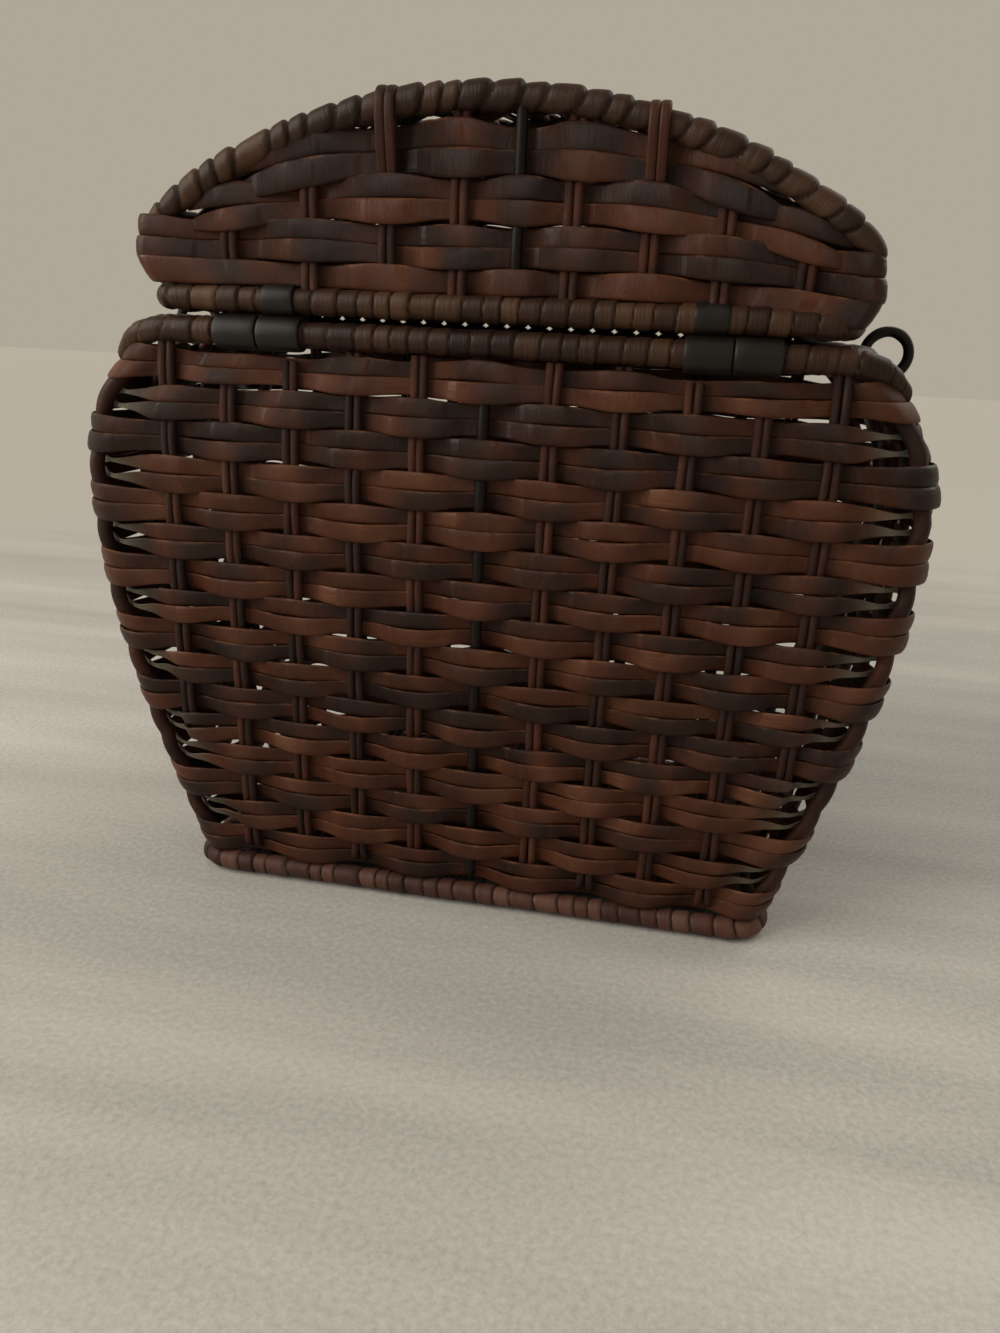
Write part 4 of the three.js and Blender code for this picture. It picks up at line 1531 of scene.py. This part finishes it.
    def arch_line(self) -> Array:
        """The arch in X and Z, left to right: a Bezier foot, one circular bow, and the mirrored foot.

        Returns:
            Points of the line.
        """
        drop = self.arch_radius * self.foot_lean / np.hypot(self.foot_lean, self.foot_lift)
        foot_rise = self.rod_rise + self.rod_radius + self.gap + drop
        foot = np.array([self.half_width - self.foot_set_in, foot_rise])
        angle = np.linspace(0, self.bow_angle, self.bow_points)
        bow = np.stack([self.curve * np.sin(angle), self.bow_centre + self.curve * np.cos(angle)], -1)
        spring = bow[-1]
        tangent = np.array([np.cos(self.bow_angle), -np.sin(self.bow_angle)])
        a, b, c, d = spring, spring + self.bulge * tangent, foot + (self.foot_lean, self.foot_lift), foot
        t = np.linspace(0, 1, self.foot_points + 1)[1:, None]
        feet = (1 - t) ** 3 * a + 3 * t * (1 - t) ** 2 * b + 3 * t ** 2 * (1 - t) * c + t ** 3 * d
        right = np.vstack([bow, feet])
        return np.vstack([(right * (-1, 1))[:0:-1], right])

    def placed(self, points: Array) -> Array:
        """Carries points from the lid's own frame to the closed lid: leaned about the hinge axis.

        Args:
            points: Points in the lid's frame.

        Returns:
            The same points in the basket's frame.
        """
        y, z = points[:, 1], points[:, 2]
        c, s = np.cos(self.lean), np.sin(self.lean)
        return xyz(points[:, 0], y * c + z * s - self.form.rim_half_depth,
                   z * c - y * s + self.form.rim_height)

    def foot_half(self, z: Array) -> Array:
        """Half width of the arch's foot at each height of the lid's lowest rows."""
        foot = self.arch[-self.foot_points:][::-1]
        return np.interp(z, foot[:, 1], foot[:, 0])

    def face_y(self, face: Face) -> float:
        """Where a long face stands along Y."""
        return 0.0 if face is Face.BACK else self.depth

    def sides(self, row: int, count: int, first: int = 0) -> Array:
        """Offsets of a row at stakes in order: inside where the sum of both numbers is odd."""
        return np.where((row + first + np.arange(count)) % 2 == 1, -self.passing, self.passing)

    def row_at(self, z: Array, levels: list) -> Array:
        """Number of the row at each height, with fractions between rows, from the lowest rows' heights."""
        last = len(self.levels)
        return np.interp(z - self.rod_rise, levels, np.arange(last, last - len(levels), -1))

    @staticmethod
    def near_end(share: Array, start: float) -> Array:
        """How near a row's end each place is: 0 as far as the start, then a square law up to 1."""
        return np.clip((np.abs(share) - start) / (1 - start), 0, 1) ** 2

    def build_rims(self) -> None:
        """Builds the wound rim of the lid and its two wound arches."""
        plan = rounded_plan(self.half_width, 0, self.depth, self.corner, self.rod_rise)
        rim = Piece("lid_rim_cane", "wrap", Body.LID, ("lid_rim", "lid_rim_winding"))
        self.rim_cane.add(rim.skin, plan, UP, self.rim_winding, True, Seed.LID_RIM)
        rim.finish(self.stuff.cane, self.placed)
        mark = np.arange(self.arch_marks)
        radii = np.interp(np.minimum(mark, mark[::-1]), self.foot_marks, self.foot_radii)
        for face in Face:
            line = xyz(self.arch[:, 0], self.face_y(face), self.arch[:, 1])
            feet = unit(line[[0, -1]] - line[[1, -2]]) * self.arch_sink
            line = np.vstack([line[:1] + feet[:1], line, line[-1:] + feet[1:]])
            line = soften(resample(line, self.arch_step), self.bend)
            piece = Piece(f"arch_cane_{face.word}", "wrap", Body.LID, (f"lid_arch_{face.word}",))
            self.arch_cane.add(piece.skin, line, ALONG_Y, radii, False, Seed.ARCH + face.value)
            piece.finish(self.stuff.cane, self.placed)

    def build_face(self, face: Face) -> None:
        """Builds a long face of the lid: free rows of splints, in front of and behind its uprights.

        Args:
            face: The back or the front.
        """
        rows = Piece(f"lid_weave_{face.word}", "splint", Body.LID, (f"lid_{face.word}_panel",))
        stakes = np.array(self.stakes)
        for row, (z, height, left, right, *falls) in enumerate(self.face_rows, 1):
            x = np.linspace(-left, right, round((left + right) / self.step))
            share = np.where(x < 0, x / left, x / right)
            fall = np.where(x < 0, *falls) * np.abs(share) ** 3
            base = xyz(x, self.face_y(face), self.rod_rise + z - fall)
            side = self.sides(row, len(stakes), -self.rod_stake)
            held = (stakes > self.hold - left) & (stakes < right - self.hold)
            offset = SplintPair.interlace(x + left, stakes[held] + left, side[held], left + right, False)
            offset = offset - self.tuck * self.near_end(share, self.tuck_from)
            weave = SplintPair(*(height * part for part in self.face_shares))
            outward, up = (np.broadcast_to(way, base.shape) for way in (ALONG_Y * face.value, UP))
            weave.add(rows.skin, base, outward, up, offset, False, Seed.LID_ROW + 10 * row + face.value,
                      taper=1 - self.end_taper * self.near_end(share, self.taper_from))
        rows.finish(self.stuff.splint, self.placed)
        self.build_uprights(face)
        self.build_ties(face)

    def build_uprights(self, face: Face) -> None:
        """Builds the lid's uprights on a long face: pairs of reeds, and one black rod near the middle.

        Args:
            face: The back or the front.
        """
        reeds = Piece(f"lid_reeds_{face.word}", "reed", Body.LID, ())
        rod = Piece(f"lid_black_upright_{face.word}", "black_rod", Body.LID, (f"lid_{face.word}_rod",))
        bow_line = self.arch[self.foot_points + 1:-self.foot_points - 1]
        for i, x in enumerate(self.stakes):
            top = float(np.interp(x, bow_line[:, 0], bow_line[:, 1]))
            z = np.arange(self.rod_rise + self.stake_foot, top - self.stake_top, self.stake_step)
            row = self.row_at(z, self.levels)
            bow = self.stake_bow * np.cos(np.pi * (row + i - self.rod_stake + 1))
            path = xyz(x, self.face_y(face) + face.value * bow, z)
            if i == self.rod_stake:
                rod.skin.tube(sweep(path, ALONG_X, oval(self.rod_size, self.rod_size, self.rod_sides)))
            else:
                tints = self.reed.short_tints(distances(path), Seed.LID_REED + 20 * face.value + i)
                self.reed.add_short_pair(reeds.skin, path, ALONG_X, tints)
        reeds.finish(self.stuff.reed, self.placed)
        rod.finish(self.stuff.lacquer, self.placed)

    def build_ties(self, face: Face) -> None:
        """Builds the flat reeds that run up over the top row and fold over the arch.

        Args:
            face: The back or the front.
        """
        ties = Piece(f"arch_ties_{face.word}", "reed", Body.LID, ())
        reach = self.arch_winding + self.tie_clear
        turn = np.radians(np.linspace(*self.tie_turn, self.fold_points))
        foot, over = self.rod_rise + self.tie_foot, self.rod_rise + self.tie_over
        section = oval(*self.tie_half, self.tie_sides, self.tie_power)
        edge = (np.abs(section[:, 1]) / self.tie_half[1]) ** self.tie_worn
        for i, tone in zip((self.rod_stake - 2, self.rod_stake + 2), self.tie_tones):
            x = self.stakes[i]
            top = self.bow_centre + np.sqrt(self.curve ** 2 - x ** 2)
            fold = np.stack([reach * np.cos(turn), top + reach * np.sin(turn)], -1)
            rise = np.linspace(foot, top - self.tie_top, self.tie_points)
            bulge = np.interp(rise, [foot, over, rise[-1]], [*self.tie_bulge, reach])
            line = soften(resample(np.vstack([np.stack([bulge, rise], -1), fold]), 1.0), self.bend)
            y = self.face_y(face) + face.value * line[:, 0]
            for shift in (-1, 1):
                path = xyz(x + shift * self.tie_apart, y, line[:, 1])
                ties.skin.tube(sweep(path, ALONG_X, section), False, tone, edge)
        ties.finish(self.stuff.reed, self.placed)

    def build_bands(self) -> None:
        """Builds the two lowest rows as bands round the whole lid, outside the feet of the arches."""
        half_depth = self.depth / 2
        stakes, y = np.array(self.stakes), np.array(self.end_stakes)
        widest = float(self.foot_half(self.rod_rise + self.band_rows[0][1])) - self.band_set_in
        below, above = self.band_curve
        low, high, drop = self.sag

        def centres(height: Array) -> tuple[Array, Array]:
            """Where the bands turn round the arches' feet: furthest out at the peak, in above and below."""
            away = self.rod_rise + self.band_peak - height
            return widest - np.where(away > 0, below, above) * away ** 2, np.full_like(height, half_depth)

        bands = Piece("lid_bands", "splint", Body.LID, ("lid_end_left", "lid_end_right"))
        for row, z, height, single in self.band_rows:
            level = self.rod_rise + z
            breaks = run_ends(float(centres(np.array(level))[0]), half_depth, self.band_turn)
            s = np.linspace(0, breaks[-1], round(breaks[-1] / self.step), endpoint=False)
            sway = self.band_sway.along(s, breaks[-1], Seed.BAND_SWAY + row)
            base, outward, rising = loop_frames(centres, 0.0, level + sway, s, breaks)
            down = drop * np.clip((base[:, 0] - low) / (high - low), 0, 1) ** 2
            base = base + ALONG_Y * half_depth - UP * down[:, None]
            corners = breaks[1:-1]
            places = np.concatenate([places_round(breaks, stakes, y), corners])
            side = self.sides(row, len(stakes), -self.rod_stake)
            ends = self.sides(row, len(y))
            offsets = np.concatenate([side, ends, side, ends, np.full(len(corners), self.band_turn)])
            offset = SplintPair.interlace(s, places, offsets, breaks[-1], True)
            double = 2 if single else 1
            weave = SplintPair(*(height * part * double for part in self.band_shares))
            weave.add(bands.skin, base, outward, rising, np.minimum(offset, self.band_turn), True,
                      Seed.BAND + row, single=single)
        bands.finish(self.stuff.splint, self.placed)
        self.build_end_uprights()

    def build_end_uprights(self) -> None:
        """Builds the pairs of reeds that stand in the lid's end walls."""
        reeds = Piece("lid_reeds_ends", "reed", Body.LID, ())
        z = np.arange(self.rod_rise + self.stake_foot, self.rod_rise + self.end_top, self.end_step)
        row = self.row_at(z, [*self.levels[:2], self.end_level])
        for sign in (-1, 1):
            for j, (y, tone) in enumerate(zip(self.end_stakes, self.end_tones)):
                bow = self.thin_bow * np.cos(np.pi * (row + j + 1))
                path = xyz(sign * (self.foot_half(z) + bow), self.depth / 2 + y, z)
                self.reed.add_short_pair(reeds.skin, path, ALONG_Y, [tone, tone])
        reeds.finish(self.stuff.reed, self.placed)

    def build_vault(self) -> None:
        """Builds the vault: rows of splints along the arch, over reeds that run from arch to arch."""
        line = xyz(self.arch[:, 0], 0.0, self.arch[:, 1])
        line = soften(resample(line, self.step), self.bend)
        line = line[line[:, 2] > self.rod_rise + self.vault_foot]
        s = distances(line)
        outward = np.cross(unit(np.gradient(line, axis=0)), ALONG_Y)
        outward = outward * np.sign(outward[len(line) // 2, 2])
        bow = slice(self.vault_flank, -self.vault_flank)
        stakes = np.interp(self.stakes, line[bow, 0], s[bow])
        places = np.concatenate([[self.vault_end], stakes, [s[-1] - self.vault_end]])
        edge = self.arch_winding + self.vault_edge
        pitch = (self.depth - 2 * edge) / self.vault_rows
        weave = SplintPair(*(pitch * part for part in self.vault_shares))
        across = np.broadcast_to(ALONG_Y, line.shape)
        vault = Piece("lid_vault_weave", "splint", Body.LID, ("lid_top",))
        for row in range(self.vault_rows):
            base = line + ALONG_Y * (edge + (row + 0.5) * pitch)
            offset = weave.interlace(s, places, self.sides(row, len(places)), s[-1], False)
            weave.add(vault.skin, base, outward, across, offset, False, Seed.VAULT_ROW + row)
        vault.finish(self.stuff.splint, self.placed)
        reeds = Piece("lid_vault_reeds", "reed", Body.LID, ())
        first, last = edge - self.vault_run_on, self.depth - edge + self.vault_run_on
        y = np.arange(first, last + self.vault_spare, self.stake_step)
        row = (y - edge) / pitch - 0.5
        for i, at in enumerate(places):
            point, out = (np.array([np.interp(at, s, v[:, c]) for c in range(3)]) for v in (line, outward))
            out = unit(out)
            bow = self.thin_bow * np.cos(np.pi * (row + i + 1))
            path = point + ALONG_Y * y[:, None] + out * bow[:, None]
            tints = self.reed.short_tints(y - y[0], Seed.VAULT_REED + 2 * i)
            self.reed.add_short_pair(reeds.skin, path, np.cross(out, ALONG_Y), tints)
        reeds.finish(self.stuff.reed, self.placed)


@dataclass
class StrapHinges:
    """Black sleeves on the body's back rod, two beside each other, each with a tongue to the lid's rod."""

    lid: ArchedLid
    stuff: Stuff
    rod: float = 4.6
    thickness: float = 2.0
    side_gap: float = 0.12
    steps: int = 72
    sleeve_sides: int = 28
    sleeve_power: float = 5.0
    sleeve_drift: Wander = Wander(0.1, 12, 40)
    worn_from: float = 0.6
    # The tongue: its feet as shares of the sleeve's radius, with heights, and its lead to the lid's rod
    tongue: float = 1.3
    tongue_share: float = 0.72
    tongue_sides: int = 20
    tongue_power: float = 4.0
    tongue_clear: float = 0.1
    tongue_wrap: float = 75.0
    wrap_points: int = 16
    tongue_feet: tuple = ((0.9, 2.0), (1.0, 4.0))
    tongue_lead: tuple = (0.2, -3.0)
    tongue_step: float = 0.8
    tongue_bend: int = 3
    # The inner straps' band round the lid's rod
    band_clear: float = 0.3
    band_drift: Wander = Wander(0.15, 8, 30)

    def tongue_line(self) -> Array:
        """The tongue in Y and Z: up the inner side between the rods and over the back of the lid's rod.

        Returns:
            Points of the line.
        """
        reach = self.lid.rim_winding + self.tongue / 2 + self.tongue_clear
        low = self.rod + self.thickness / 2
        rise = self.lid.rod_rise
        turn = np.radians(np.linspace(0, self.tongue_wrap, self.wrap_points))
        over = np.stack([reach * np.cos(turn), rise + reach * np.sin(turn)], -1)
        feet = [(low * share, height) for share, height in self.tongue_feet]
        lead = np.array([(reach, rise)]) + self.tongue_lead
        return soften(resample(np.vstack([feet, lead, over]), self.tongue_step), self.tongue_bend)

    def around(self, radius: float, drift: Wander, seed: int, middle: float, rise: float,
               section: Array) -> Array:
        """A strip carried round a rod: at each angle its distance is the radius plus a drift.

        Args:
            radius: Distance of the strip's middle from the rod's axis.
            drift: How that distance changes round the rod.
            seed: Seed of the drift.
            middle: Where the strip lies along X.
            rise: Height of the rod's axis over the hinge axis.
            section: Section of the strip.

        Returns:
            Rings of points, which meet.
        """
        angle = np.linspace(0, TURN, self.steps, endpoint=False)
        reach = radius + drift.along(angle * radius, TURN * radius, seed)
        circle = xyz(middle, reach * np.cos(angle), rise + reach * np.sin(angle))
        return sweep(circle, ALONG_X, section, True)

    def build(self) -> None:
        """Builds each sleeve as a rounded strip carried round the rod, and its tongue."""
        line = self.tongue_line()
        for seed, side in enumerate(("left", "right"), Seed.STRAP):
            for part in ("inner", "outer"):
                node = f"hinge_strap_{side}_{part}"
                low, high = box_mm(node)
                middle, half = (low[0] + high[0]) / 2, (high[0] - low[0]) / 2 - self.side_gap
                piece = Piece(f"hinge_band_{side}_{part}", "strap", Body.LID, (node,))
                section = oval(self.thickness / 2, half, self.sleeve_sides, self.sleeve_power)
                edge = np.clip(np.abs(section[:, 1]) / half - self.worn_from, 0, 1)
                radius = self.rod + self.thickness / 2
                sleeve = self.around(radius, self.sleeve_drift, seed, middle, 0.0, section)
                piece.skin.tube(sleeve, True, edge=edge[None])
                width = half * self.tongue_share
                section = oval(self.tongue / 2, width, self.tongue_sides, self.tongue_power)
                piece.skin.tube(sweep(xyz(middle, *line.T), ALONG_X, section))
                if part == "inner":
                    radius = self.lid.rim_winding + self.band_clear
                    band = self.around(radius, self.band_drift, seed + 1, middle, self.lid.rod_rise, section)
                    piece.skin.tube(band, True)
                piece.finish(self.stuff.strap, self.lid.placed)


@dataclass
class CarryingRings:
    """An iron ring at each end, upright in an eye on the rim."""

    stuff: Stuff
    ring_steps: int = 72
    eye_steps: int = 48
    wire_sides: int = 14
    wobble: Wander = Wander(0.02, 8, 30)

    def hoop(self, node: str, normal: Array, second: Array, steps: int) -> Array:
        """A smooth ring in place of a faceted one: a circle of wire carried round a circle.

        Args:
            node: The node that it stands for, whose box gives its sizes.
            normal: Direction of the ring's axis.
            second: The direction that spans the ring's plane together with X.
            steps: How many sections it has.

        Returns:
            Rings of points, which meet.
        """
        low, high = box_mm(node)
        wire = (high - low) @ normal / 2
        radius = (high - low).max() / 2 - wire
        angle = np.linspace(0, TURN, steps, endpoint=False)
        path = radius * (np.cos(angle)[:, None] * ALONG_X + np.sin(angle)[:, None] * second)
        size = 1 + self.wobble.along(angle * radius, TURN * radius, Seed.RING)
        section = oval(wire, wire, self.wire_sides)[None] * size[:, None, None]
        return sweep((low + high) / 2 + path, normal, section, True)

    def build(self) -> None:
        """Builds both rings and both eyes."""
        for side, body in (("left", Body.RING_LEFT), ("right", Body.RING_RIGHT)):
            ring = Piece(f"iron_ring_{side}", "iron", body, (f"ring_{side}",))
            ring.skin.tube(self.hoop(f"ring_{side}", ALONG_Y, UP, self.ring_steps), True)
            ring.finish(self.stuff.iron)
            eye = Piece(f"iron_eye_{side}", "iron", Body.BASKET, (f"ring_eye_{side}",))
            eye.skin.tube(self.hoop(f"ring_eye_{side}", UP, ALONG_Y, self.eye_steps), True)
            eye.finish(self.stuff.iron)


@dataclass(frozen=True)
class Lamp:
    """A large soft lamp: its place and width in metres, and its power in watts."""

    name: str
    place: tuple
    size: float
    energy: float


@dataclass
class Studio:
    """A pale floor, soft light and the camera at the photograph's viewing angle."""

    camera_place: tuple = (73.6, -452.2, 245.5)
    yaw: float = 9.73
    pitch: float = 19.41
    roll: float = 2.55
    focal_pixels: float = 1000.0
    frame_pixels: tuple = (1000, 1333)
    sensor: float = 36.0
    nearest: float = 0.01
    # Floor: reach in metres, colour with shares for its troughs and crests, painted shade and light of
    # ripples, scale, detail and roughness of each noise, how strongly both mottle it, and where it fades into
    # the wall
    floor_reach: float = 4.0
    floor_color: tuple = (0.475, 0.455, 0.405)
    floor_shares: tuple = (0.8, 1.2)
    floor_roughness: float = 0.7
    ripple_stretch: tuple = (1.1, 8.0, 1.0)
    ripple_noise: tuple = (2.2, 2.0, 0.5)
    grain_noise: tuple = (420.0, 2.0, 0.7)
    mottling: tuple = (2.0, 1.6)
    fade: tuple = (0.5, 0.95)
    # Wall that is seen, and light of the room
    wall_color: tuple = (0.43, 0.385, 0.31)
    soft_color: tuple = (1.0, 0.97, 0.92, 1.0)
    soft_strength: float = 0.45
    lamps: tuple = (Lamp("key_lamp", (-1.0, -0.62, 0.8), 1.2, 17.0),
                    Lamp("fill_lamp", (1.1, 0.9, 1.3), 1.4, 10.0))
    lamp_color: tuple = (1.0, 0.95, 0.88)
    lamp_aim: tuple = (0.0, 0.0, 0.15)

    def build_camera(self) -> None:
        """Sets the camera from its place, yaw, pitch and roll."""
        yaw, pitch, roll = np.radians([self.yaw, self.pitch, self.roll])
        right = np.array([np.cos(yaw), np.sin(yaw), 0])
        ahead = np.array([-np.sin(yaw) * np.cos(pitch), np.cos(yaw) * np.cos(pitch), -np.sin(pitch)])
        down = np.cross(ahead, right)
        right = np.cos(roll) * right - np.sin(roll) * down
        down = np.cross(ahead, right)
        data = bpy.data.cameras.new("camera")
        data.sensor_width = self.sensor
        data.lens = data.sensor_width * self.focal_pixels / max(self.frame_pixels)
        data.clip_start = self.nearest
        camera = bpy.data.objects.new("camera", data)
        turn = Matrix(np.column_stack([right, -down, -ahead]).tolist()).to_4x4()
        camera.matrix_world = Matrix.Translation(Vector(self.camera_place) * MM) @ turn
        bpy.context.scene.collection.objects.link(camera)
        bpy.context.scene.camera = camera

    def build_floor(self) -> None:
        """Lays a pale floor with ripples painted as shade and light and a fine grain, which goes over into
        the wall behind.
        """
        r = self.floor_reach
        mesh = bpy.data.meshes.new("pale_floor")
        mesh.from_pydata([(x * r, y * r, 0) for x, y in CORNERS], [], [(0, 1, 2, 3)])
        tree = Tree(bpy.data.materials.new("pale floor"))
        place = tree.place()
        ripple = tree.noise(tree.stretched(place, self.ripple_stretch), *self.ripple_noise)
        grain = tree.noise(place, *self.grain_noise)
        by_ripple, by_grain = self.mottling
        # Painted shade in the ripples' troughs and painted light on their crests, with a fine grain
        mottle = (ripple - 0.5) * by_ripple + (grain - 0.5) * by_grain + 0.5
        painted_trough_shade, painted_crest_light = (tuple(share * c for c in self.floor_color) for share in self.floor_shares)
        color = tree.mix(mottle, painted_trough_shade, painted_crest_light)
        away = tree.node("ShaderNodeVectorMath", {"operation": "LENGTH"}, {0: place}, "Value")
        fade = away.between(*self.fade)
        black = (0.0, 0.0, 0.0)
        mesh.materials.append(tree.surface({
            "Base Color": tree.mix(fade, color, black), "Roughness": self.floor_roughness,
            "Emission Color": tree.mix(fade, black, self.wall_color), "Emission Strength": 1.0}))
        floor = bpy.data.objects.new("pale_floor", mesh)
        bpy.context.scene.collection.objects.link(floor)

    def build_world(self) -> None:
        """Fills the world with soft light, and shows a pale wall to camera, glossy and clear rays."""
        world = bpy.data.worlds.new("soft_room")
        bpy.context.scene.world = world
        tree = Tree(world)
        camera, glossy, clear = (tree.node("ShaderNodeLightPath", output=f"Is {kind} Ray")
                                 for kind in ("Camera", "Glossy", "Transmission"))
        soft = tree.node("ShaderNodeBackground", None,
                         {"Color": self.soft_color, "Strength": self.soft_strength})
        wall = tree.node("ShaderNodeBackground", None, {"Color": (*self.wall_color, 1.0)})
        mixed = tree.node("ShaderNodeMixShader", None, {0: camera + glossy + clear, 1: soft, 2: wall})
        tree.node("ShaderNodeOutputWorld", None, {"Surface": mixed})

    def build_lamps(self) -> None:
        """Hangs two large soft lamps: one over the photograph's side, one weaker at the other side."""
        for lamp in self.lamps:
            data = bpy.data.lights.new(lamp.name, "AREA")
            data.size = lamp.size
            data.energy = lamp.energy
            data.color = self.lamp_color
            hung = bpy.data.objects.new(lamp.name, data)
            turn = (Vector(self.lamp_aim) - Vector(lamp.place)).to_track_quat("-Z", "Y")
            hung.matrix_world = Matrix.Translation(lamp.place) @ turn.to_matrix().to_4x4()
            bpy.context.scene.collection.objects.link(hung)

    def build(self) -> None:
        """Builds the camera, the floor, the world and the lamps."""
        bpy.context.scene.view_settings.view_transform = "Standard"
        self.build_camera()
        self.build_floor()
        self.build_world()
        self.build_lamps()


def main() -> None:
    """Builds the studio and every sub-assembly in order."""
    logging.basicConfig(level=logging.INFO, format="%(name)s: %(message)s")
    Studio().build()
    form = WallForm.measured()
    stuff = Stuff()
    body = WovenBody(form, stuff)
    body.build_rows()
    body.build_stakes()
    body.build_rims()
    body.build_base()
    lid = ArchedLid(form, stuff)
    lid.build_rims()
    for face in Face:
        lid.build_face(face)
    lid.build_bands()
    lid.build_vault()
    StrapHinges(lid, stuff).build()
    CarryingRings(stuff).build()


if __name__ == "__main__":
    main()
